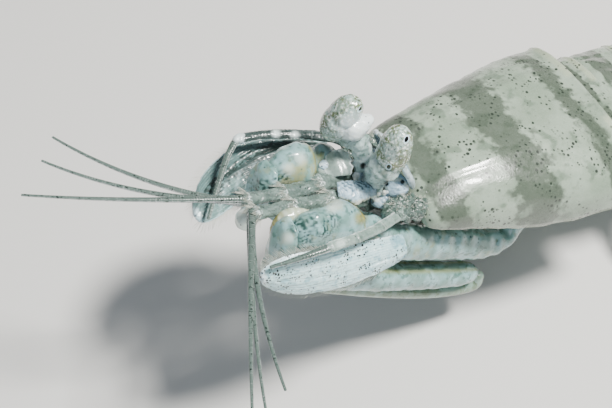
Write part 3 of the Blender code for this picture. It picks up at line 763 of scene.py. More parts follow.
def carapace():
    """The shield behind the head: two long grooves that part towards the rear, and a faint cross groove."""
    rows = np.array(CARAPACE_ROWS)

    def rows_at(share):
        return spline(rows[:-1, 1:], np.interp(share, rows[:-1, 0], np.arange(len(rows) - 1)))

    def relief(grid, share):
        aside = np.abs(grid[..., 1])
        long_groove = hump(aside, 5.6 + 4.4 * share, 0.5) * ease(0.0, 0.1, share)
        cross_groove = hump(share, 0.66 + 0.0009 * aside**2, 0.012) * ease(9.0, 12.0, aside)
        swell = 0.35 * hump(aside, 2.0, 3.5)
        return swell - 0.5 * long_groove - 0.35 * cross_groove + 0.12 * wavy(grid, 6.0, 3)

    shape = shell_ring(CARAPACE_FRONT, CARAPACE_LENGTH, rows_at, 0.34, 0.2, relief, inset=2.2)
    share = np.clip((CARAPACE_FRONT - shape.grid[..., 0]) / CARAPACE_LENGTH, 0, 1)
    saddle = hump(share, 0.12, 0.09) + hump(share, 0.5, 0.13) + hump(share, 0.9, 0.06)
    shape.values["band"] = saddle * (shape.grid[..., 2] > 32)
    build("carapace", [shape], CARAPACE, ["carapace"], from_animal)


def ring_names():
    """Name, front edge, length, joints and place in them of each ring behind the carapace."""
    x = CARAPACE_FRONT - CARAPACE_LENGTH - GAP
    for number, length in enumerate(THORAX_LENGTHS):
        yield f"thorax_{number + 5}", x, length, THORAX_JOINTS, number
        x -= length + GAP
    for number in range(SOMITES):
        yield f"abdomen_{number + 1}", x, SOMITE_LENGTH, ABDOMEN_JOINTS, number
        x -= SOMITE_LENGTH + GAP


def trunk():
    """The rings of chest and abdomen, each with two faint keels a side. The last one bears short spines."""
    for name, front, length, joints, index in ring_names():

        def rows_at(share, joints=joints, index=index):
            return spline(joints, index + share)

        def relief(grid, share):
            aside = np.abs(grid[..., 1])
            keels = hump(aside, 12.5, 0.5) + 0.8 * hump(aside, 17.4, 0.5)
            return 0.2 * keels - 0.12 * hump(aside, 6.0, 0.8) + 0.1 * wavy(grid, 5.0, 9)

        thin = name.startswith("thorax")
        shapes = [shell_ring(front, length, rows_at, 0.42, 0.16 if thin else 0.34, relief)]
        if name == f"abdomen_{SOMITES}":
            half, top, low = joints[-1]
            rear = front - length
            aside = np.array([3.2, 8.4, 13.2, 17.6])
            high = low + (top - low) * (0.42 + 0.58 * (1 - (aside / half) ** 2) ** 0.45)
            for sign in (1, -1):
                bases = np.stack([np.full(4, rear + 1.4), sign * aside, high - 0.3], -1)
                shapes += cones(bases, bases + [-3.0, 0, -0.2], 0.8, bend=(0, 0, 0.25))
        build(name, shapes, TERGITE, [name], from_animal)


# The head


def streaked(grid, angle, number, seed):
    """Pale lines along a limb: a sine round it, whose phase wanders a little along it."""
    return ease(0.4, 0.95, np.sin(number * angle + 1.3 * wavy(grid * [0.25, 1, 1], 4.0, seed)))


def rostral_plate():
    """The heart-shaped hinged plate behind the eyes, lifted: crowned across, its tip bent back, its sides rolled."""
    lift = math.radians(67)
    ahead = np.array([math.cos(lift), 0, math.sin(lift)])
    out = np.array([-math.sin(lift), 0, math.cos(lift)])

    def place(u, across):
        width = 5.6 * (1 - u**4) ** 0.6 * (0.9 + 0.2 * u) + 0.3
        crown = 0.9 * (1 - across**2) - 1.0 * u**2 + 0.25 * hump(across, 0, 0.12)
        middle = np.array([-5.6, 0, 7.0]) + ahead * (9.6 * u)[..., None] + out * crown[..., None]
        return middle + np.array([0, 1.0, 0]) * (across * width)[..., None]

    grid = leaf(place, 50, 72, 1.2)
    edge = np.abs(np.cos(angles(72)))
    shapes = [Shape(grid, rim=0.5 * ease(0.86, 0.98, edge))]
    u = np.array([0.02, 0.2, 0.45, 0.7, 0.86])
    for side in (1.03, -1.03):
        roll = np.column_stack([place(u, np.full(5, side)), (0.5, 0.68, 0.7, 0.6, 0.4), (0.5, 0.68, 0.7, 0.6, 0.4)])
        shapes.append(Shape(swept(roll, 60, 32, bulge=1.0), rim=0.25))
    build("rostral_plate", shapes, BLUE_WHITE, ["rostral_plate"])


def head_front():
    """The face between the antennae, down to the lip and the jaws: a ridged plate with rounded knobs."""
    rows = (
        (3.4, 0, 2.6, 4.2, 1.9),
        (2.4, 0, 2.6, 4.3, 2.6),
        (-1.0, 0, 1.8, 4.7, 3.2),
        (-4.0, 0, -1.8, 4.6, 3.0),
        (-7.5, 0, -7.0, 4.0, 2.8),
        (-11.0, 0, -9.8, 3.4, 2.6),
        (-12.4, 0, -11.4, 2.2, 1.8),
    )
    grid = swept(rows, 70, 56)
    grid = raised(grid, 0.3 * hump(grid[..., 1], 0, 0.6) + 0.16 * wavy(grid, 2.4, 11))
    # Painted shade: the whole face is darkened with the darkest pigment colour, for the shade between the antennae.
    shapes = [Shape(grid, spot=0.6)]
    for sign in (1, -1):
        # The jaws, and the smooth lobes beside the feelers' roots.
        shapes.append(Shape(lump((-10.4, sign * 2.2, -11.6), (2.2, 1.5, 2.4), 3, 0.12)))
        shapes.append(Shape(lump((-6.6, sign * 3.2, -6.8), (2.6, 1.6, 2.2), 4, 0.1)))
    shapes.append(Shape(lump((-8.6, 0, -9.6), (2.0, 2.6, 2.0), 5, 0.1), rim=0.4))
    build("head_front", shapes, LIMB, ["head_front"])


HEAD_DOTS = ((-0.5, 3.4, 8.0), (-3.7, 4.2, 8.0), (-0.81, 6.08, 6.0), (2.6, -1.0, 10.0))
# The line of sight into the picture, in head axes: marks and lobes are set by it where the photo shows them.
LOOK = unit(np.array([0.471, 0.467, 0.748]))


def sighted(grid, centres, radius, soft):
    """1 within a radius of the lines of sight through the centres, on the side that faces them, fading over `soft`."""
    offset = grid[..., None, :] - np.asarray(centres, float)
    aside = offset - (offset @ LOOK)[..., None] * LOOK
    distance = np.linalg.norm(aside, axis=-1).min(-1)
    near = (offset @ LOOK > -3.5).any(-1)
    return (1 - ease(radius, radius + soft, distance)) * near


def thin_scale(root, tip, width, curl, seed):
    """A thin lobed plate from root to tip: its half width follows a sine, its edge is a little ragged and it bows."""
    root, tip = np.array(root, float), np.array(tip, float)
    aside = unit(np.cross(tip - root, LOOK))
    normal = unit(np.cross(aside, tip - root))

    def place(u, across):
        ragged = 1 + (0.1 * np.sin(8 * u + seed) + 0.06 * np.sin(23 * u + seed)) * np.abs(across)
        half = width / 2 * np.sin(math.pi * (0.14 + 0.85 * u)) ** 0.5 * ragged
        bow = -curl * (0.6 * across**2 + u**2) + 0.2 * np.sin(5 * across + 3 * u + seed)
        middle = root + (tip - root) * u[..., None] + normal * bow[..., None]
        return middle + aside * (half * across)[..., None]

    grid = leaf(place, 50, 72, 0.5)
    edge = ease(0.84, 0.97, np.abs(np.cos(angles(72))))[None]
    end = ease(0.88, 1.0, np.linspace(0, 1, 50))[:, None]
    return Shape(grid, rim=0.15 + 0.85 * np.maximum(edge, end))


def bib():
    """The scalloped piece over the feelers' roots: a bowed sheet between an upper line and a lobed lower one."""
    upper = ((0.9, 1.9, 7.4), (2.5, 1.7, 8.2), (6.0, 0.7, 9.0), (9.0, -0.1, 9.0))
    lower = ((2.6, 4.4, 6.9), (4.6, 4.6, 7.5), (7.6, 4.9, 7.9), (10.2, 2.8, 8.5))

    def place(u, across):
        flat = 3 * u.ravel()
        top = spline(upper, flat).reshape(u.shape + (3,))
        low = spline(lower, flat).reshape(u.shape + (3,))
        share = (across + 1) / 2 + 0.11 * np.abs(np.sin(3.5 * math.pi * u + 0.6)) * ease(0.2, 1.0, across)
        bow = 1.2 * (1 - across**2) - 0.5 * ease(0.6, 1.0, across) + 0.15 * np.sin(9 * u)
        return top + (low - top) * share[..., None] + LOOK * bow[..., None]

    rings, around = 80, 110
    grid = leaf(place, rings, around, 0.7)
    grid = raised(grid, 0.08 * wavy(grid, 0.9, 27))
    across = np.cos(angles(around))[None]
    u = np.linspace(0, 1, rings)[:, None]
    rim = ease(0.62, 0.85, across + 0.08 * wavy(grid, 0.8, 28)) + 0.6 * ease(0.9, 1.0, -across)
    mottle = 0.9 * (1 - ease(-0.3, 0.5, across)) * ease(-0.3, 0.5, wavy(grid, 0.8, 29)) * (1 - ease(0.85, 1.0, u))
    return Shape(grid, rim=np.clip(rim, 0, 1), band=mottle)


def head_lobes():
    """Bluish-white lobes and scales at the roots of the eyes and feelers, with a few black-green spots."""
    shapes = []
    for middle, radii, seed, rough in (
        ((-2.6, 4.1, 7.3), (2.4, 2.5, 2.2), 21, 0.05),
        ((0.4, 4.2, 4.6), (2.2, 1.8, 1.6), 24, 0.1),
        ((-2.4, -4.3, 6.0), (3.6, 2.4, 2.1), 22, 0.12),
        ((0.4, 0.0, 6.0), (2.6, 2.6, 2.2), 23, 0.12),
        ((3.2, -0.9, 7.6), (1.3, 0.8, 1.5), 25, 0.04),
        ((8.6, -5.0, 8.6), (1.4, 1.1, 1.0), 26, 0.04),
    ):
        grid = lump(middle, radii, seed, rough, 60, 84)
        grid = raised(grid, 0.05 * wavy(grid, 0.7, seed))
        pale = 0.55 * ease(-0.2, 0.9, wavy(grid, 2.4, seed))
        shapes.append(Shape(grid, spot=sighted(grid, HEAD_DOTS, 0.3, 0.25), rim=pale))
    random = np.random.default_rng(12)
    along = spline(((3.0, 3.2, 7.4), (2.2, 4.0, 7.2), (1.2, 4.5, 7.2), (0.2, 4.8, 7.2)), np.linspace(0, 3, 9))
    for number, middle in enumerate(along + random.normal(scale=0.5, size=along.shape)):
        size = random.uniform(0.25, 0.5, 3)
        shapes.append(Shape(lump(middle, size, 60 + number, 0.2, 20, 28), rim=random.uniform(0.1, 0.8)))
    build("head_lobes", [*shapes, bib()], BLUE_WHITE)
    scales = (
        thin_scale((7.5, -1.4, 8.8), (6.2, -5.6, 11.5), 5.6, 0.5, 1),
        thin_scale((8.9, -2.3, 7.9), (9.6, -5.3, 8.9), 3.2, 0.4, 2),
    )
    build("feeler_root_scales", list(scales), CLEAR_LIMB)


# Each eyestalk from its root to the cup below the cornea: x, y, z, half width, half depth.
STALK_ROWS = {
    "left": (
        (1.0, 2.3, 6.3, 1.7, 1.7),
        (1.6, 2.2, 9.0, 1.8, 1.8),
        (2.2, 2.6, 11.4, 2.1, 2.1),
        (2.4, 3.4, 13.4, 2.6, 2.6),
        (2.2, 4.0, 15.4, 3.1, 3.1),
        (1.8, 4.2, 17.0, 2.5, 2.5),
    ),
    "right": (
        (1.0, -1.9, 6.3, 1.7, 1.7),
        (1.9, -1.9, 9.0, 1.9, 1.8),
        (2.1, -2.3, 11.0, 1.8, 1.8),
        (2.6, -3.0, 13.4, 1.9, 1.9),
        (3.8, -4.3, 15.4, 2.4, 2.4),
        (5.2, -5.7, 16.6, 2.7, 2.7),
        (6.0, -6.4, 17.2, 2.4, 2.4),
    ),
}
# The pearly lobe along the foot of each cornea, on the side towards the other eye.
PEARL_ROWS = {
    "left": (
        (0.4, 3.0, 15.4, 1.5, 1.4),
        (-0.8, 2.6, 16.4, 1.9, 1.8),
        (-1.8, 2.8, 17.6, 1.5, 1.3),
        (-2.4, 3.0, 18.4, 0.8, 0.7),
    ),
    "right": (
        (6.2, -5.2, 17.6, 1.9, 1.8),
        (5.6, -4.9, 18.0, 2.5, 2.4),
        (4.6, -4.5, 18.5, 2.8, 2.6),
        (2.9, -4.2, 19.3, 2.1, 1.8),
        (1.6, -4.1, 19.8, 1.2, 1.0),
    ),
}


# The false pupils face the line of sight: a place on it, half height, half width.
PUPILS = {
    "left": (((-0.65, 4.62, 22.0), 0.6, 0.36), ((2.1, 5.1, 16.0), 0.42, 0.4)),
    "right": (((3.15, -5.33, 22.0), 0.7, 0.24),),
}


def eye(side):
    """A long cornea, waisted at its midband, in the cup of its stalk, with a pearly lobe beside its foot."""
    middle = np.array(EYE_MIDDLE[side])
    lean = unit(np.array(EYE_LEAN[side]))
    across = unit(np.array([0, 1.0, 0]) - lean * lean[1])
    up = np.cross(lean, across)
    rings, around = 130, 150
    share = np.linspace(0.004, 0.996, rings)
    bulge = np.sqrt(1 - (2 * share - 1) ** 2) ** 0.8
    waist = 1.06 - 0.16 * share - 0.04 * hump(share, 0.52, 0.05) - 0.04 * hump(share, 0.52, 0.2)
    radius = EYE_HALF_WIDTH * bulge * waist
    angle = angles(around)
    ring = across * np.cos(angle)[:, None] + up * np.sin(angle)[:, None]
    centre = middle + lean * ((share - 0.5) * EYE_LENGTH)[:, None]
    grid = centre[:, None] + ring * radius[:, None, None]
    grid = raised(grid, 0.07 * wavy(grid, 2.4, 31))
    facing = (grid - centre[:, None]) @ LOOK > 0
    pupil = np.zeros(grid.shape[:2])
    rise_axis = unit(lean - LOOK * (lean @ LOOK))
    for place, half_height, half_width in PUPILS[side]:
        offset = grid - np.array(place)
        rise = offset @ rise_axis / half_height
        swing = offset @ np.cross(LOOK, rise_axis) / half_width
        pupil = np.maximum(pupil, np.exp(-0.45 * (rise**2 + swing**2)) * facing)
    shade = 0.15 * hump(share, 0.52, 0.025)[:, None]
    # Painted light: the skin is painted pearly white where the lobe beside it shines through, on the right eye only.
    near = np.array(PEARL_ROWS[side])[1:, :3]
    pearl = (0.75 if side == "right" else 0.0) * sighted(grid, near, 0.6, 2.4)
    shape = Shape(grid, pupil=pupil, shade=shade, pearl=pearl)
    build(f"cornea_{side}", [shape], CORNEA, [f"cornea_{side}"])
    grid = swept(STALK_ROWS[side], 64, 60)
    height = np.linspace(0, 1, len(grid))[:, None]
    grid = raised(grid, 0.2 * wavy(grid, 2.0, 33) + 0.25 * hump(height, 0.28, 0.03) + 0.08 * wavy(grid, 0.8, 34))
    pale = 0.5 * ease(0, 1, wavy(grid, 2.6, 34)) * (1 - ease(0.5, 0.8, height))
    stalk = Shape(grid, spot=sighted(grid, HEAD_DOTS, 0.35, 0.5), rim=pale, band=0.4 * ease(0.55, 0.8, height))
    pearl = swept(PEARL_ROWS[side], 50, 54, bulge=0.9)
    pearl = raised(pearl, 0.06 * wavy(pearl, 1.2, 36))
    name = f"eyestalk_{side}"
    build(name, [stalk, Shape(pearl, rim=1.0 if side == "right" else 0.25)], STALK, [name])


def whip_line(root, length, first, last, droop, count):
    """A feeler that turns evenly from its first heading to its last, and sinks by droop at its tip."""
    share = np.linspace(0, 1, count)
    turn = np.radians(first + (last - first) * share)
    stride = length / (count - 1)
    steps = np.stack([np.cos(turn), np.sin(turn)], -1)[:-1] * stride
    flat = np.vstack([[0, 0], np.cumsum(steps, axis=0)])
    return np.array(root) + np.column_stack([flat, -droop * share**1.6])


def ringed(rows, length, spacing, around=12):
    """A feeler of short rings: its radius swells at each joint, every `spacing` millimetres."""
    count = int(length / spacing * 5)
    grid = swept(rows, count, around, bulge=0.6)
    share = np.clip((np.arange(len(grid)) - 4) / (count - 1), 0, 1)
    joint = (0.5 + 0.5 * np.cos(2 * math.pi * share * length / spacing))[:, None]
    girth = np.linalg.norm(grid - grid.mean(1, keepdims=True), axis=-1).mean(1)[:, None]
    # Painted light: the clear wall looks white where it is seen edge-on, so both sides carry a painted pale line.
    edge = ease(0.82, 0.98, np.abs(np.cos(angles(around))))[None]
    return Shape(raised(grid, (joint - 0.5) * 0.05 * girth), ring=np.maximum(0.45 * joint**2, 0.9 * edge))


PEDUNCLE_JOINTS = (12.0, 20.4, 28.6)


def first_antenna(side):
    """A three-jointed peduncle under the eye, each joint a thin ragged flare with a few bristles, and three whips.

    The radius swells over the last 3 mm before each joint and drops sharply behind it.
    """
    sign = SIDES[side]
    rows = (
        (3.9, sign * 3.0, 5.2, 1.7, 1.7),
        (6.0, sign * 2.8, 6.0, 2.0, 1.9),
        (11.8, sign * 2.2, 7.4, 1.9, 1.7),
        (14.0, sign * 1.9, 7.9, 1.65, 1.35),
        (20.4, sign * 1.7, 9.3, 1.6, 1.25),
        (22.0, sign * 1.7, 9.6, 1.45, 1.15),
        (28.4, sign * 1.75, 11.1, 1.35, 1.1),
        (29.2, sign * 1.8, 11.2, 0.9, 0.8),
    )
    grid = swept(rows, 200, 64, bulge=0.7)
    angle = angles(64)
    x = grid[..., 0].mean(1)[:, None]
    ragged = x + 0.25 * wavy(grid, 1.1, 44)
    flare = sum(ease(joint - 3.0, joint, x) * (ragged < joint) for joint in PEDUNCLE_JOINTS)
    lips = sum(ease(joint - 1.0, joint - 0.1, ragged) * (ragged < joint) for joint in PEDUNCLE_JOINTS)
    folds = 0.1 * wavy(grid * [0.3, 1, 1], 1.5, 41) + 0.06 * wavy(grid, 0.7, 42)
    grid = raised(grid, 0.26 * flare - 0.08 + folds)
    torn = ease(-0.2, 0.6, wavy(grid, 0.6, 45))
    rim = np.clip(0.8 * lips * torn + 0.16 * streaked(grid, angle, 6, 43) * torn, 0, 1)
    shapes = [Shape(grid, rim=rim, spot=spotted(grid, ((11.4, 1.6, 8.6),), 0.35))]
    build(f"first_antenna_{side}", shapes, LIMB, [f"first_antenna_{side}"])
    tufts = []
    count = 90
    for place, high in ((11.8, 7.5), (20.2, 9.3), (28.4, 11.1)):
        turn = angles(count)
        spread = np.stack([0.5 * np.sin(7 * turn), np.cos(turn), np.sin(turn)], -1)
        tufts.append((np.array([place, sign * 1.75, high]) + spread * [1, 1.6, 1.3], unit(spread + [1.3, 0, 0])))
    roots, aims = (np.vstack(part) for part in zip(*tufts))
    places = np.stack([np.tile(np.linspace(0, 1, count), 3), np.repeat([0.3, 0.5, 0.7], count)], -1)
    bristles(f"first_antenna_tufts_{side}", roots, aims, 1.7, 0.1, places, HAIR)
    whips = []
    for number, (length, first, last, droop) in enumerate(WHIPS[side]):
        line = whip_line((29.2, sign * (1.9 - 0.25 * number), 11.7 - 0.45 * number), length, first, last, droop, 24)
        girth = 0.8 + (0.25 - 0.8) * np.linspace(0, 1, 24) ** 0.7
        whips.append(ringed(np.column_stack([line, girth, 0.8 * girth]), length, RING_SPACING))
    name = f"first_antenna_whips_{side}"
    build(name, whips, WHIP, [name])


SECOND_ROUTE = {
    "left": (
        (-5.0, 8.9, 4.4),
        (-1.2, 9.2, 5.4),
        (3.4, 10.8, 6.8),
        (10.4, 12.8, 8.8),
        (18.5, 13.4, 9.9),
        (22.5, 13.3, 9.8),
        (26.5, 12.7, 9.0),
        (30.5, 11.9, 8.2),
    ),
    "right": (
        (-5.0, -8.9, 4.6),
        (-1.2, -9.4, 5.6),
        (3.1, -12.2, 6.8),
        (9.4, -16.3, 6.3),
        (18.8, -18.6, 6.8),
        (22.4, -17.4, 5.6),
        (27.0, -12.8, 4.0),
        (32.4, -6.8, 1.8),
    ),
}


# Painted highlights along each arm, placed on the line of sight.
ARM_HIGHLIGHTS = {"left": ((16.3, 13.1, 9.5),), "right": ((12.1, -17.3, 6.5), (8.9, -15.4, 6.5))}
BASE_KNOB = ((-6.4, 9.0, 4.6, 1.4, 1.4), (-4.4, 8.4, 5.0, 2.1, 2.0), (-1.0, 7.8, 5.4, 2.2, 2.0), (1.6, 8.0, 5.2, 1.5, 1.4))


def second_antenna(side):
    """The knobbly base that bears the scale, the clear peduncle that bends off it, and its ringed whip."""
    sign = SIDES[side]
    place = np.linspace(0, 7, 64)
    line = spline(SECOND_ROUTE[side], place)
    stout = 2.3 - 0.4 * np.abs(place - 0.6)
    slim = 1.15 - 0.04 * place
    girth = np.where(place < 1.2, stout, slim)
    girth = np.convolve(np.pad(girth, 2, mode="edge"), np.ones(5) / 5, "valid")
    rows = np.column_stack([line, girth, np.where(place < 1.2, 0.85, 0.72) * girth])
    arm, whip = rows[(place > 1.0) & (place < 4.15)], rows[place > 4.0]
    roots = []
    for section in (rows[place < 1.5], np.array(BASE_KNOB) * [1, sign, 1, 1, 1]):
        knobs = swept(section, 70, 90, bulge=0.6)
        knobs = raised(knobs, 0.26 * wavy(knobs, 1.7, 51) + 0.1 * wavy(knobs, 0.7, 52) + 0.05 * wavy(knobs, 0.35, 54))
        roots.append(Shape(knobs, rim=0.8 * ease(0.35, 0.9, wavy(knobs, 0.6, 53)) * ease(0.0, 0.8, wavy(knobs, 2.0, 55))))
    build(f"second_antenna_base_{side}", roots, ROUGH)
    # Short clear papillae on the knobbly base catch the light.
    picks = np.random.default_rng(8).integers(0, (70, 90), (260, 2))
    spots, normals = knobs[picks[:, 0], picks[:, 1]], outward(knobs)[picks[:, 0], picks[:, 1]]
    normals *= np.sign(((spots - knobs.mean((0, 1))) * normals).sum(-1, keepdims=True))
    bristles(f"second_antenna_papillae_{side}", spots, normals, 0.7, 0.12, picks / [70, 90], HAIR)
    tube = swept(arm, 170, 56, bulge=0.8)
    angle = angles(56)
    share = np.clip((np.arange(len(tube)) - 4) / 169, 0, 1)[:, None]
    joints = (0.36, 0.7, 0.985)
    flare = sum(ease(at - 0.1, at, share) * (share < at) for at in joints)
    lips = sum(ease(at - 0.022, at - 0.004, share) * (share < at) for at in joints)
    tube = raised(tube, 0.1 * flare - 0.03 + 0.06 * wavy(tube * [0.35, 1, 1], 1.7, 56) + 0.03 * wavy(tube, 0.7, 57))
    # Painted highlights: white where the arm meets its listed places on the line of sight, and a painted white line
    # along the top of the left one.
    painted_highlight = (0.9 if side == "right" else 0.5) * sighted(tube, ARM_HIGHLIGHTS[side], 0.3, 1.0)
    line = ease(0.93, 0.99, np.sin(angle - 0.9 * sign + 0.1 * wavy(tube, 2.2, 58))) if side == "left" else 0
    rim = np.clip(0.2 * lips + 0.7 * line + painted_highlight + 0.06 * streaked(tube, angle, 4, 60), 0, 1)
    shape = Shape(tube, rim=rim, band=0.9 if side == "right" else 0.3)
    size = np.array((1.6, 1.1, 0.95)) * (1.0 if side == "right" else 0.6)
    knob = Shape(lump(arm[-1, :3] + np.array([0.2, 0, 0.1]), size, 61, 0.08), rim=1.0 if side == "right" else 0.3)
    finish = CLEAR_LIMB if side == "left" else LIMB
    build(f"second_antenna_{side}", [shape, knob], finish, [f"second_antenna_{side}"])
    slender = whip.copy()
    slender[:, 3] = np.linspace(0.85, 0.35, len(whip))
    slender[:, 4] = np.linspace(0.6, 0.3, len(whip))
    reach = np.linalg.norm(np.diff(whip[:, :3], axis=0), axis=1).sum()
    build(f"second_antenna_whip_{side}", [ringed(slender, reach, 0.6)], WHIP)


def antennal_scale(side):
    """The oval blade beside the claws: a bowed, twisting plate with a thick outer rib, a groove and a fringe."""
    sign = SIDES[side]
    pose = SCALE_POSE[side]
    root_width = 4.6

    def bowed(three, t):
        base, bow, end = three
        return base * (1 - t) ** 2 + 2 * bow * t * (1 - t) + end * t**2

    def place(u, across):
        swell = root_width + (SCALE_WIDTH - root_width) * np.minimum(1, u / 0.55) ** 0.8
        end = np.sqrt(np.maximum(0.0, 1 - np.maximum(0.0, (u - 0.72) / 0.28) ** 2.2))
        half = np.maximum(0.5 * swell * end, 0.25)
        tilt = np.radians(pose["tilt"][0] + (pose["tilt"][1] - pose["tilt"][0]) * u)
        outward_ = np.stack([0 * tilt, sign * np.cos(tilt), np.sin(tilt)], -1)
        normal = np.stack([0 * tilt, -sign * np.sin(tilt), np.cos(tilt)], -1)
        groove = pose["groove"] * hump(across, 0.28 - 0.2 * u, 0.09) * ease(0.0, 0.15, u) * (1 - ease(0.75, 0.95, u))
        rib = 0.6 * pose["groove"] * hump(across, 0.45 - 0.2 * u, 0.1)
        crown = 0.9 * (1 - across**2) - groove + rib
        forward = 1.0 + (pose["reach"] - 1.0) * u
        middle = np.stack([forward, sign * bowed(pose["side"], u), bowed(pose["height"], u)], -1)
        return middle + outward_ * (half * across)[..., None] + normal * crown[..., None]

    rings, around = 220, 260
    u = np.linspace(0, 1, rings)[:, None]
    across = np.cos(angles(around))[None]
    grid = leaf(place, rings, around, 0.8)
    # Fine ribs run from the root and fan out a little: where a rib's phase round the blade peaks, it stands proud.
    phase = 46 * across + 5 * np.sin(4 * u) + wavy(grid, 6.0, 67)
    ribs = (0.5 + 0.5 * np.sin(phase)) ** 3 * ease(0.02, 0.15, u) * (1 - ease(0.8, 1.0, u))
    grid = raised(grid, 0.07 * ribs + 0.05 * wavy(grid, 2.4, 66) + 0.04 * wavy(grid, 0.9, 65))
    edge = ease(0.9, 0.98, np.abs(across)) * ease(0.04, 0.12, u)
    rim = np.maximum(edge, ease(0.965, 0.99, u))
    if side == "left":
        # Bluish streaks run out of its root, and a few grey patches lie along its lower edge.
        dark = (0.55 + 0.35 * ribs) * (1 - ease(0.05, 0.4, u))
        dark = dark + 0.8 * (hump(u, 0.42, 0.05) + hump(u, 0.62, 0.04)) * hump(across, 0.9, 0.12)
        rim = np.clip(rim + 0.5 * ribs, 0, 1)
    else:
        # A dark groove with speckled sides, and a paler hatched strip between it and the inner edge.
        place_of = 0.3 - 0.25 * u + 0.04 * wavy(grid, 3.0, 68)
        dark = 1.2 * hump(across, place_of, 0.34) * ease(0.0, 0.15, u) * (1 - ease(0.8, 0.95, u))
        dark = dark * (0.8 + 0.4 * wavy(grid, 1.0, 69)) + 0.25 * ease(0.1, 0.6, wavy(grid * [0.4, 1, 1], 3.4, 70))
        dark = dark + 0.6 * (1 - ease(-0.1, 0.2, across - place_of)) * (1 - ease(0.4, 0.8, u))
        hatch = (0.5 + 0.5 * np.sin(55 * u + 9 * across)) ** 4 * ease(0.0, 0.2, place_of - 0.1 - across)
        rim = np.clip(rim + 0.3 * hatch + 0.12 * ribs * ease(0.0, 0.1, place_of - across), 0, 1)
    name = f"antennal_scale_{side}"
    finish = SCALE_LEFT if side == "left" else SCALE_RIGHT
    build(name, [Shape(grid, rim=rim, band=dark + 0 * across)], finish, [name])
    roots, aims, places = fringe_of(place, 0.16, 0.995, (1, -1), 0.26, 0.8)
    bristles(f"{name}_fringe", roots, aims, 2.2, 0.1, places, HAIR)


# The claws


CLAW_ROWS = {
    "merus": (
        (-33.0, 10.4, -9.2, 1.7, 1.7),
        (-33.4, 10.8, -11.8, 2.1, 2.1),
        (-31.0, 11.1, -14.8, 2.5, 2.6),
        (-26.0, 11.0, -14.6, 3.0, 3.4),
        (-16.0, 10.0, -10.6, 3.4, 4.0),
        (-4.0, 9.1, -6.0, 3.5, 4.2),
        (5.0, 8.2, -1.4, 3.3, 4.8),
        (12.6, 7.8, 3.6, 3.4, 5.6),
        (18.6, 7.6, 5.2, 3.5, 5.5),
        (21.6, 7.4, 5.4, 2.7, 4.2),
    ),
    "carpus": (
        (22.6, 6.9, 8.6, 2.2, 0.8),
        (23.4, 6.8, 7.0, 3.3, 1.4),
        (24.2, 7.1, 3.4, 3.5, 1.9),
        (24.1, 7.4, -0.8, 3.2, 2.3),
        (22.9, 7.7, -4.0, 2.6, 2.3),
        (21.6, 7.8, -5.2, 1.3, 1.3),
    ),
    "propodus": (
        (19.6, 7.9, -6.6, 1.6, 1.6),
        (17.4, 8.1, -7.4, 2.8, 3.0),
        (11.0, 8.6, -10.0, 3.3, 3.7),
        (-2.0, 10.0, -15.0, 3.0, 3.5),
        (-16.0, 11.2, -20.2, 2.6, 3.2),
        (-23.0, 11.6, -22.6, 2.4, 2.7),
        (-25.4, 11.7, -23.6, 1.3, 1.5),
    ),
    "dactylus": (
        (-27.2, 11.9, -25.4, 1.4, 1.3),
        (-25.6, 12.0, -27.6, 1.7, 1.7),
        (-15.8, 11.5, -26.0, 1.2, 1.3),
        (-3.4, 10.3, -21.4, 1.0, 1.2),
        (9.0, 8.8, -16.4, 0.8, 0.9),
        (15.0, 8.2, -13.6, 0.4, 0.4),
    ),
}


# Marks on each claw, on the line of sight: soft dark green clouds, milky patches that are partly painted highlights,
# and the olive rim's place.
CLAW_CLOUDS = {
    "left": ((21.3, 6.6, 9.5), (18.3, 6.3, 9.5), (21.4, 9.1, 9.0), (17.9, 9.8, 10.0), (22.3, 11.1, 9.0), (15.1, 8.0, 9.5)),
    "right": ((21.2, -6.2, 6.0), (22.6, -6.0, 6.0), (19.9, -6.1, 6.0), (17.0, -6.4, 6.5)),
}
CLAW_MILK_AND_HIGHLIGHTS = {
    "left": ((24.0, 7.2, 8.0), (11.6, 4.4, 9.0), (13.0, 5.0, 9.5)),
    "right": ((14.7, -7.7, 7.0), (11.1, -9.0, 7.0)),
}
OLIVE_RIM = {"left": 8.6, "right": 11.3}
# The pale collar over the inner corner of the thigh's end, and a rounded knob on the front of the wrist.
COLLAR = (
    (17.9, 4.9, 8.0, 0.5, 0.6),
    (20.4, 4.3, 8.3, 1.1, 1.0),
    (22.3, 4.3, 7.9, 1.5, 1.1),
    (23.7, 4.3, 6.2, 1.4, 1.1),
    (24.2, 4.7, 3.8, 1.1, 0.9),
    (24.1, 5.6, 1.2, 0.5, 0.5),
)
# Painted edge light: the collar's edge that faces ahead and inwards, towards the camera's left, is painted olive, as
# thin shell seen edge-on.
PAINTED_EDGE_LIGHT_SIDE = np.array([0.81, -0.565, -0.157])
WRIST_KNOB = {"left": ((25.3, 7.3, -2.6), (2.0, 2.6, 2.8)), "right": ((27.8, 4.5, -1.6), (2.2, 2.2, 2.2))}


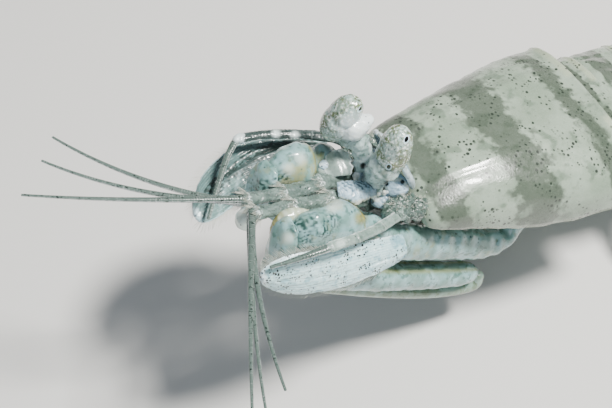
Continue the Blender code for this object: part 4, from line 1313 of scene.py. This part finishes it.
def claw(side):
    """One folded raptorial claw: thigh, wrist, grooved hand with a comb along it, and the toothed finger."""
    sign = SIDES[side]
    forward, upward = CLAW_SHIFT[side]

    def held(rows):
        """The rows carried with the elbow in proportion to how near it they are, on their own side."""
        rows = np.array(rows, float)
        near = np.clip((rows[:, 0] + 29) / 40, 0, 1) ** 2
        rows[:, 0] += forward * near
        rows[:, 2] += upward * near
        rows[:, 1] *= sign
        return rows

    def share_of(grid):
        return np.linspace(0, 1, len(grid))[:, None]

    def placed(point):
        return held(np.array([[*point, 0, 0]]))[0, :3]

    def marked(grid, **more):
        """Clouds of dark green dots where they lie, milky white where the flesh is thick, and painted highlights among
        the milky places.
        """
        clouds = sighted(grid, CLAW_CLOUDS[side], 0.7, 1.7) * ease(-0.15, 0.5, wavy(grid, 0.8, 64))
        milk = 0.7 * sighted(grid, CLAW_MILK_AND_HIGHLIGHTS[side], 0.1, 1.8)
        return Shape(grid, spot=0.95 * clouds, milk=milk, **more)

    rim_x = OLIVE_RIM[side]
    thigh = swept(held(CLAW_ROWS["merus"]), 220, 110, bulge=0.5)
    share, angle = share_of(thigh), angles(110)
    x = thigh[..., 0]
    upper = ease(-0.2, 0.3, np.sin(angle))
    under = hump(np.sin(angle), -1, 0.35) * ease(0.25, 0.5, share)
    inner = np.array([12.3, sign * 4.2, 9.0]) if side == "left" else np.array([13.6, -5.0, 8.6])
    swell = hump(np.linalg.norm(thigh - inner, axis=-1), 0, 2.2)
    neck = -0.8 * hump(x, rim_x - 1.7, 1.6) + 0.45 * hump(x, rim_x + 2.8, 2.4) + 0.25 * hump(x, rim_x, 0.3)
    thigh = raised(thigh, 0.12 * wavy(thigh, 4.0, 61) - 0.5 * under + 1.3 * swell + neck * upper)
    olive = 0.75 * hump(x, rim_x + 0.2 * wavy(thigh, 2.0, 66), 0.32) * upper
    corner = sighted(thigh, ((rim_x + 0.1, sign * 8.6, 8.0),), 0.5, 1.2) if side == "left" else 0
    shape = marked(thigh, rim=np.clip(olive + 0.7 * corner, 0, 1), band=0.3 + 0.35 * hump(np.cos(angle), -sign, 0.5) + 0 * x)
    rod = ((11.2, 4.3, 8.9), (10.3, 5.1, 8.8), (9.3, 6.4, 8.2))
    rod = np.array([[*(np.array(point) * [1, sign, 1]), radius, radius] for point, radius in zip(rod, (0.5, 0.75, 0.5))])
    rod[:, 0] += rim_x - 8.6
    shapes = [shape, Shape(swept(rod, 24, 20, bulge=1), milk=1.0)]
    build(f"claw_merus_{side}", shapes, CLAW, [f"claw_merus_{side}"])

    # The wrist: a rounded cap; on the left, the ribbed collar over it, with an olive outline painted as edge light; and
    # a knob in front, with painted shade.
    wrist = swept(held(CLAW_ROWS["carpus"]), 110, 100, bulge=0.8)
    share = share_of(wrist)
    wrist = raised(wrist, 0.12 * wavy(wrist, 2.6, 62))
    shapes = [marked(wrist, band=0.3 + 0.5 * ease(0.5, 0.9, share))]
    if side == "left":
        grid = swept(held(COLLAR), 150, 40, bulge=0.8)
        ribs = 0.5 + 0.5 * np.cos(2 * math.pi * 11 * share_of(grid))
        grid = raised(grid, 0.03 * ribs + 0.05 * wavy(grid, 1.5, 67))
        # Painted edge light: olive on the collar's side towards the camera's left, cream elsewhere.
        painted_edge_light = ease(0.3, 0.85, outward(grid) @ unit(PAINTED_EDGE_LIGHT_SIDE))
        cream = (0.25 + 0.25 * ribs) * (1 - painted_edge_light)
        shapes.append(Shape(grid, rim=0.8 * painted_edge_light + 0 * ribs, milk=cream, band=0.9 + 0 * cream))
    middle, radii = WRIST_KNOB[side]
    neck = swept(held(((24.0, 7.2, -1.4, 2.3, 2.3), (*middle, 0.86 * radii[0], 0.86 * radii[2]))), 30, 50, bulge=0.3)
    shapes.append(Shape(neck, milk=0.25, band=0.25))
    ball = lump(placed(middle), radii, 65, 0.06, 50, 70)
    # Painted shade: the knob is painted darker green on its side turned away from the light above, and milky only on
    # its lit side.
    shade = ease(0.2, 1.0, -((ball - ball.mean((0, 1))) @ unit(np.array([-0.4, 0.5, 0.75])) / max(radii)))
    shapes.append(Shape(ball, milk=(1.0 if side == "right" else 0.2) * (1 - shade), band=0.9 * shade + 0.2, spot=0.5 * shade))
    build(f"claw_carpus_{side}", shapes, CLAW, [f"claw_carpus_{side}"])

    hand = swept(held(CLAW_ROWS["propodus"]), 150, 80, bulge=0.6)
    share, angle = share_of(hand), angles(80)
    groove = hump(np.sin(angle), -1, 0.25) * ease(0.06, 0.2, share) * (1 - ease(0.85, 1.0, share))
    hand = raised(hand, 0.1 * wavy(hand, 4.4, 63) - 0.7 * groove)
    shapes = [Shape(hand, rim=0.5 * hump(np.sin(angle), -0.85, 0.12) * ease(0.1, 0.2, share))]
    line = smooth(held(CLAW_ROWS["propodus"])[1:6], 60)
    comb = line[:, :3] + np.stack([0 * line[:, 0], -sign * 0.75 * line[:, 3], -0.78 * line[:, 4]], -1)
    shapes += cones(comb, comb + [0.1, -sign * 0.1, -0.8], 0.24, rings=4, around=6)
    build(f"claw_propodus_{side}", shapes, CLAW, [f"claw_propodus_{side}"])

    rows = held(CLAW_ROWS["dactylus"])
    blade = swept(rows, 130, 28, bulge=0.8)
    shapes = [Shape(blade, rim=0.3)]
    share = (np.arange(TEETH) + 0.7) / TEETH
    place = 1 + 3.4 * share
    index = np.floor(place).astype(int)
    at = rows[index] + (rows[index + 1] - rows[index]) * (place - index)[:, None]
    length = 2.0 + 2.2 * share
    roots = at[:, :3] - np.array([0, sign * 0.4, 0]) * at[:, 3:4]
    tips = np.stack([at[:, 0] - 0.6, at[:, 1] - sign * (0.3 * at[:, 3] + 0.75 * length), at[:, 2] + 0.62 * length], -1)
    shapes += cones(roots, tips, 0.7, bend=(-0.5, 0, -0.2), rings=10, around=12)
    build(f"claw_dactylus_{side}", shapes, CLAW, [f"claw_dactylus_{side}"])


def maxillipeds(side):
    """The mouth legs: a thin cleaning pair with a brush, and three pairs with round, hooked paddle ends."""
    sign = SIDES[side]
    cleaner = np.array(((-18.4, 2.2, -8.6), (-15.8, 2.6, -12.4), (-8.0, 2.8, -14.4), (-1.0, 2.4, -12.2))) * [1, sign, 1]
    rows = np.column_stack([cleaner, (0.9, 0.8, 0.65, 0.5), (0.9, 0.8, 0.65, 0.5)])
    grid = swept(rows, 90, 18, bulge=0.8)
    share = np.linspace(0, 1, len(grid))[:, None]
    grid = raised(grid, 0.12 * (hump(share, 0.35, 0.03) + hump(share, 0.7, 0.03)))
    build(f"maxilliped_1_{side}", [Shape(grid)], LIMB, [f"maxilliped_1_{side}"])
    line = smooth(rows[2:], 90)
    random = np.random.default_rng(7)
    turn = random.uniform(0, 2 * math.pi, 90)
    spread = np.stack([np.full(90, 0.6), np.cos(turn), np.sin(turn)], -1)
    places = np.stack([np.linspace(0, 1, 90), turn / 7], -1)
    bristles(f"maxilliped_1_brush_{side}", line[:, :3], unit(spread), 1.5, 0.1, places, HAIR)
    for number in range(3, 6):
        back = (number - 3) * 7.0
        out = 3.4 * (number == 4) - 1.6
        low = 5.0 - 0.22 * back
        rows = (
            (-27.0 - back, sign * (3.4 + out), -15.4 + low, 1.2, 1.2),
            (-26.4 - back, sign * (4.2 + out), -18.6 + low, 1.3, 1.3),
            (-23.0 - back, sign * (5.0 + out), -22.4 + low, 1.3, 1.4),
            (-18.6 - back, sign * (4.6 + out), -24.4 + low, 1.5, 2.2),
            (-15.6 - back, sign * (4.2 + out), -23.0 + low, 1.5, 2.9),
            (-14.0 - back, sign * (3.9 + out), -21.2 + low, 1.1, 1.9),
            (-13.6 - back, sign * (3.8 + out), -20.0 + low, 0.5, 0.7),
        )
        grid = swept(rows, 90, 36, bulge=0.5)
        share = np.linspace(0, 1, len(grid))[:, None]
        grid = raised(grid, 0.15 * hump(share, 0.42, 0.03) - 0.2 * hump(share, 0.52, 0.03))
        shapes = [Shape(grid, rim=0.6 * ease(0.7, 0.9, share))]
        tip = np.array(rows[-1][:3])
        shapes += cones([tip + [-0.3, 0, -0.6]], [tip + [-3.4, 0, 1.4]], 0.55, bend=(0.6, 0, 0.7), rings=10, around=12)
        name = f"maxilliped_{number}_{side}"
        build(name, shapes, LIMB, [name])


# Legs and tail


def walking_legs():
    """Three slender jointed pairs under the chest, each with a hairy side branch, standing on small flats."""
    x = CARAPACE_FRONT - CARAPACE_LENGTH - GAP - THORAX_LENGTHS[0] - GAP
    for number in range(3):
        length = THORAX_LENGTHS[number + 1]
        middle = x - length * 0.5
        low = THORAX_JOINTS[number + 1][2] * 0.5 + THORAX_JOINTS[number + 2][2] * 0.5
        x -= length + GAP
        foot = middle + 7.0 - 3.5 * number
        for side, sign in SIDES.items():
            rows = np.array(
                (
                    (middle, 11.0, low + 0.3, 2.0, 1.9),
                    (middle + 0.4, 11.6, low - 3.2, 1.8, 1.7),
                    (middle + (foot - middle) * 0.4, 18.0, low - 5.0, 1.45, 1.45),
                    (foot, 24.0 + number, min(low - 5.0, 7.5), 1.15, 1.2),
                    (foot + 0.3, 25.0 + number, 1.6, 0.95, 1.0),
                    (foot + 0.3, 25.1 + number, FLOOR_CLEARANCE, 0.8, 0.8),
                )
            ) * [1, sign, 1, 1, 1]
            grid = swept(rows, 110, 28, bulge=0.0)
            share = np.linspace(0, 1, len(grid))[:, None]
            knees = sum(hump(share, at, 0.022) for at in (0.16, 0.42, 0.72))
            grid = raised(grid, 0.22 * knees - 0.15 * sum(hump(share, at + 0.035, 0.014) for at in (0.16, 0.42, 0.72)))
            grid[..., 2] = np.maximum(grid[..., 2], FLOOR_CLEARANCE)
            shapes = [Shape(grid, rim=0.8 * knees)]
            branch = np.array(
                (
                    (middle + 0.8, 12.6, low - 3.6, 0.9, 0.9),
                    (middle - 0.8, 17.0, low - 2.4, 0.8, 0.9),
                    (middle - 2.2, 22.0, low - 3.2, 0.6, 1.0),
                    (middle - 3.0, 26.0, low - 5.4, 0.35, 0.8),
                )
            ) * [1, sign, 1, 1, 1]
            shapes.append(Shape(swept(branch, 50, 18, bulge=0.5)))
            name = f"walking_leg_{number + 1}_{side}"
            build(name, shapes, LIMB, [name], from_animal)
            line = smooth(branch[1:], 60)
            random = np.random.default_rng(number)
            turn = random.uniform(0, 2 * math.pi, 60)
            spread = np.stack([np.cos(turn), np.full(60, 1.1 * sign), np.sin(turn)], -1)
            places = np.stack([np.linspace(0, 1, 60), turn / 7], -1)
            bristles(f"{name}_hairs", line[:, :3], unit(spread), 1.6, 0.12, places, HAIR, from_animal)


def swimming_legs(start):
    """Five pairs: each side a short base, two hairy-edged leaves lying back on the floor, and feathery gills."""
    for number in range(5):
        front = start - (SOMITE_LENGTH + GAP) * number - 3.6
        low = ABDOMEN_JOINTS[number][2] * 0.6 + ABDOMEN_JOINTS[number + 1][2] * 0.4
        reach = 13.4 - 0.4 * number
        shapes, roots, aims, places = [], [], [], []
        for sign in (1, -1):
            rows = (
                (front + 1.0, sign * 9.6, low - 0.2, 6.4, 1.3),
                (front - 1.8, sign * 9.4, low - 1.6, 6.6, 1.5),
                (front - 4.2, sign * 9.2, low - 3.8, 6.0, 1.1),
            )
            shapes.append(Shape(swept(rows, 26, 48, bulge=0.3)))
            for centre, half, share_of in ((4.6, 3.7, 0.96), (12.6, 4.5, 1.0)):

                def place(u, across, centre=centre, half=half, share_of=share_of, sign=sign):
                    wide = half * np.sin(math.pi * (0.13 + 0.82 * u)) ** 0.55
                    fall = ease(0, 0.72, u)
                    height = (low - 1.6) * (1 - fall) + 0.42 * fall
                    keel = 0.3 * hump(across, 0, 0.14)
                    back = front - 1.6 - (reach * share_of - 1.6) * u
                    aside = sign * (centre + 0.6 * u + wide * across)
                    return np.stack([back, aside, height + keel], -1)

                grid = leaf(place, 36, 44, 0.7)
                edge = ease(0.85, 0.98, np.abs(np.cos(angles(44))))
                shapes.append(Shape(grid, rim=0.5 * edge))
                one = fringe_of(place, 0.3, 0.99, (1, -1), 0.3, 0.9)
                for store, part in zip((roots, aims, places), one):
                    store.append(part)
            # Gills: small plumes of filaments from the outer leaf's root.
            turn = np.linspace(0, 2 * math.pi, 14)
            base = np.array([front - 3.0, sign * 11.0, low - 2.6])
            tips = base + np.stack([-3.0 + 1.2 * np.cos(turn), sign * 3.0 * np.sin(turn), -0.4 + 0.8 * np.cos(2 * turn)], -1)
            shapes += cones(np.repeat(base[None], 14, 0), tips, 0.4, bend=(0, 0, 0.5), rings=6, around=6)
        name = f"swimming_legs_{number + 1}"
        build(name, shapes, FAN, [name], from_animal)
        roots, aims, places = (np.vstack(part) for part in (roots, aims, places))
        aims[:, 2] = np.abs(aims[:, 2]) * 0.2
        roots[:, 2] = np.maximum(roots[:, 2], 0.25)
        bristles(f"{name}_fringe", roots, aims, 2.4, 0.13, places, HAIR, from_animal, bend=0.02)


def telson(front):
    """The tail shield: a smooth middle boss, low keels that run to the edge teeth, and small teeth between."""
    rows = np.array(
        (
            (0.00, 15.6, 19.6, 8.4),
            (0.12, 17.6, 19.4, 7.0),
            (0.40, 18.6, 17.0, 5.0),
            (0.68, 17.4, 12.6, 3.2),
            (0.88, 14.0, 8.0, 2.0),
            (1.00, 9.0, 4.6, 1.4),
        )
    )
    share = np.linspace(0, 1, 80)
    half, top, low = spline(rows[:, 1:], np.interp(share, rows[:, 0], np.arange(len(rows)))).T
    grid, rise, depth = arched(front - TELSON_LENGTH * share, half, top, low, 120, 0.2, 1.15, 0.6)
    aside, t = grid[..., 1], share[:, None]
    boss = hump(aside, 0, 4.6) * hump(t, 0.34, 0.24) * (rise > 0)
    keels = sum(hump(np.abs(aside), at * (0.75 + 0.4 * t), 0.55) for at in (5.6, 10.6, 15.0)) * ease(0.1, 0.4, t)
    bumps = ease(0.3, 1.0, wavy(grid, 2.0, 71)) * ease(0.5, 0.8, t)
    upper = ease(0.0, 0.25, rise)
    grid = raised(grid, (0.9 * boss + 0.45 * keels + 0.2 * bumps) * upper + 0.05 * wavy(grid, 3.0, 72))
    grid[..., 2] = np.maximum(grid[..., 2], 1.2)
    band = upper * (0.9 * hump(t, 0.62, 0.2) + 0.4 * hump(aside, 0, 3.0) * hump(t, 0.2, 0.1))
    shapes = [Shape(grid, band=band, rim=0.7 * ease(0.9, 1.0, t) * upper)]
    for number, (x, y) in enumerate(((0.94, 3.4), (0.88, 9.0), (0.7, 13.8))):
        for sign in (1, -1):
            base = np.array([front - TELSON_LENGTH * x, sign * y, 3.2 + 1.2 * number])
            tip = base + [-5.2, sign * 0.9 * number, -1.6]
            shapes += cones([base], [tip], 1.35, bend=(0, 0, 0.4), rings=12, around=16)
    small = np.array([-1.9, -0.65, 0.65, 1.9])
    bases = np.stack([np.full(4, front - TELSON_LENGTH * 0.96), small * 1.0, np.full(4, 3.0)], -1)
    shapes += cones(bases, bases + [-2.2, 0, -0.7], 0.5)
    build("telson", shapes, FAN, ["telson"], from_animal)


def uropods(front):
    """The sides of the tail fan: a base with two long spines, a spined and jointed outer paddle, an inner one."""
    for side, sign in SIDES.items():
        rows = np.array(
            (
                (front + 3.0, 22.0, 9.8, 1.6, 1.8),
                (front + 1.0, 22.8, 9.4, 2.5, 2.5),
                (front - 5.0, 24.0, 7.8, 2.8, 2.4),
                (front - 9.0, 24.8, 6.8, 2.5, 1.8),
                (front - 10.4, 25.0, 6.5, 1.2, 1.0),
            )
        ) * [1, sign, 1, 1, 1]
        grid = swept(rows, 60, 40, bulge=0.5)
        grid = raised(grid, 0.12 * wavy(grid, 2.5, 81) + 0.3 * hump(np.sin(angles(40)), 1, 0.2))
        shapes = [Shape(grid, band=0.5 + 0 * grid[..., 0])]
        for number, (y, length) in enumerate(((23.2, 13.5), (25.4, 10.0))):
            root = np.array([front - 7.6, sign * y, 6.6])
            tip = np.array([front - 7.6 - length, sign * (y - 1.6 * (1 - number)), 4.6])
            shapes += cones([root], [tip], 1.3, bend=(0, 0, 0.5), rings=20, around=20)
        build(f"uropod_base_{side}", shapes, FAN, [f"uropod_base_{side}"], from_animal)
        outer = paddle(front - 7.5, sign, 28.6, 28.0, 10.4, 19)
        inner = paddle(front - 8.6, sign, 20.9, 22.5, 7.4, 0)
        finish_paddle(f"uropod_outer_{side}", outer, sign, 0.5)
        finish_paddle(f"uropod_inner_{side}", inner, sign, 0.0)


def paddle(front, sign, side_place, length, width, splay):
    """Middle surface of an oval paddle that slopes down from its root and lies flat on the floor by half way."""
    spread = math.tan(math.radians(splay))

    def place(u, across):
        tip = np.sqrt(np.maximum(0.0, 1 - (np.maximum(0.0, u - 0.66) / 0.34) ** 2.4))
        half = width / 2 * np.sin(math.pi * (0.1 + 0.6 * u)) ** 0.6 * np.maximum(tip, 0.04)
        fall = ease(0, 0.5, u)
        height = 3.9 * (1 - fall) + 0.6 * fall + 0.35 * hump(across, 0, 0.12) * (1 - u)
        return np.stack([front - length * u, sign * (side_place + spread * length * u + half * across), height], -1)

    return place


def finish_paddle(name, place, sign, joint):
    """Makes a paddle of one or two segments: a row of spines on the outer one's edge, and a fringe of hairs."""
    shapes = []
    for start, end, thick in ((0.0, joint, 1.25), (joint, 1.0, 0.95)):
        if end <= start:
            continue
        rings = int(20 + 60 * (end - start))
        grid = leaf(place, rings, 72, thick, start + 0.012 * (start > 0), end)
        u = np.linspace(start, end, rings)[:, None]
        edge = ease(0.86, 0.98, np.abs(np.cos(angles(72))))[None]
        grid[..., 2] = np.maximum(grid[..., 2], FLOOR_CLEARANCE)
        shapes.append(Shape(grid, rim=0.5 * edge, band=ease(0.55, 0.8, u) * (1 - ease(0.93, 1.0, u)) + 0 * edge))
    if joint:
        u = np.linspace(0.14, joint - 0.02, 7)
        edge = place(u, np.full(7, 0.95))
        spines = edge + np.stack([-1.6 - 2.4 * u / joint, sign * (1.0 + 0 * u), 0.2 + 0 * u], -1)
        shapes += cones(edge, spines, 0.55, bend=(0, 0.2 * sign, 0), rings=8, around=10)
    build(name, shapes, FAN, [name], from_animal)
    roots, aims, places = fringe_of(place, max(joint, 0.12), 0.995, (1, -1), 0.24, 0.7)
    aims[:, 2] = 0
    bristles(f"{name}_fringe", roots, aims, 2.0, 0.14, places, HAIR, from_animal, bend=0.02)


# The stage


def stage():
    """A plain pale floor, two soft studio lights and an even sky. The camera, above the animal's left front, is made by
    camera().
    """
    mesh = bpy.data.meshes.new("floor")
    far = 3.0
    corners = [(x * far, y * far, 0) for x, y in ((-1, -1), (1, -1), (1, 1), (-1, 1))]
    mesh.from_pydata(corners, [], [(0, 1, 2, 3)])
    floor = bpy.data.objects.new("floor", mesh)
    bpy.context.scene.collection.objects.link(floor)
    paper = bpy.data.materials.new("floor, matt pale card")
    paper.use_nodes = True
    shader = paper.node_tree.nodes["Principled BSDF"]
    shader.inputs["Base Color"].default_value = linear("#d9d8d5")
    shader.inputs["Roughness"].default_value = 0.85
    mesh.materials.append(paper)

    world = bpy.data.worlds.new("studio")
    world.use_nodes = True
    sky = world.node_tree.nodes["Background"]
    sky.inputs["Color"].default_value = linear("#e3ecf5")
    sky.inputs["Strength"].default_value = 0.19
    bpy.context.scene.world = world
    for name, place, size, power, colour in (
        ("key", (-0.14, 0.16, 0.62), 0.13, 10.6, "#fffdf8"),
        ("fill", (0.48, 0.30, 0.40), 0.5, 1.2, "#e9f2ff"),
    ):
        lamp = bpy.data.lights.new(name, "AREA")
        lamp.shape = "DISK"
        lamp.size = size
        lamp.energy = power
        lamp.color = linear(colour)[:3]
        light = bpy.data.objects.new(name, lamp)
        light.location = place
        aim = Vector((0.08, 0, 0.03)) - light.location
        light.rotation_euler = aim.to_track_quat("-Z", "Y").to_euler()
        bpy.context.scene.collection.objects.link(light)


# The photograph's view of the head: the elevation and the azimuth that the camera looks from, its distance,
# and where the head point shows in a frame of 612 by 408 pixels at 5.05 pixels for a millimetre.
ELEVATION, AZIMUTH, DISTANCE = math.radians(55.5), math.radians(55.6), 300.0
FRAME_PIXELS, PIXELS_PER_MM = (612, 408), 5.05
HEAD_PIXEL = (366.5, 195.0)
LENS, SENSOR = 89.1, 36.0


def camera():
    """Looks down at the head. Its aim is moved so that the head point shows off the frame's middle."""
    level = np.array([math.cos(AZIMUTH), math.sin(AZIMUTH), 0])
    view = level * math.cos(ELEVATION) + np.array([0, 0, math.sin(ELEVATION)])
    right = np.array([-math.sin(AZIMUTH), math.cos(AZIMUTH), 0])
    up = np.cross(view, right)
    aside = (FRAME_PIXELS[0] / 2 - HEAD_PIXEL[0]) / PIXELS_PER_MM
    above = (HEAD_PIXEL[1] - FRAME_PIXELS[1] / 2) / PIXELS_PER_MM
    place = HEAD_POINT + view * DISTANCE
    aim = HEAD_POINT + right * aside + up * above
    lens = bpy.data.cameras.new("camera")
    lens.lens = LENS
    lens.sensor_width = SENSOR
    lens.clip_start = 0.01
    eye_ = bpy.data.objects.new("camera", lens)
    eye_.location = Vector(place * MM)
    eye_.rotation_euler = Vector((aim - place) * MM).to_track_quat("-Z", "Y").to_euler()
    bpy.context.scene.collection.objects.link(eye_)
    bpy.context.scene.camera = eye_


def model():
    carapace()
    trunk()
    rostral_plate()
    head_front()
    head_lobes()
    for side in SIDES:
        eye(side)
        first_antenna(side)
        second_antenna(side)
        antennal_scale(side)
        claw(side)
        maxillipeds(side)
    walking_legs()
    abdomen = CARAPACE_FRONT - CARAPACE_LENGTH - GAP - sum(THORAX_LENGTHS) - GAP * len(THORAX_LENGTHS)
    swimming_legs(abdomen)
    tail = abdomen - (SOMITE_LENGTH + GAP) * SOMITES
    telson(tail)
    uropods(tail)


model()
stage()
camera()
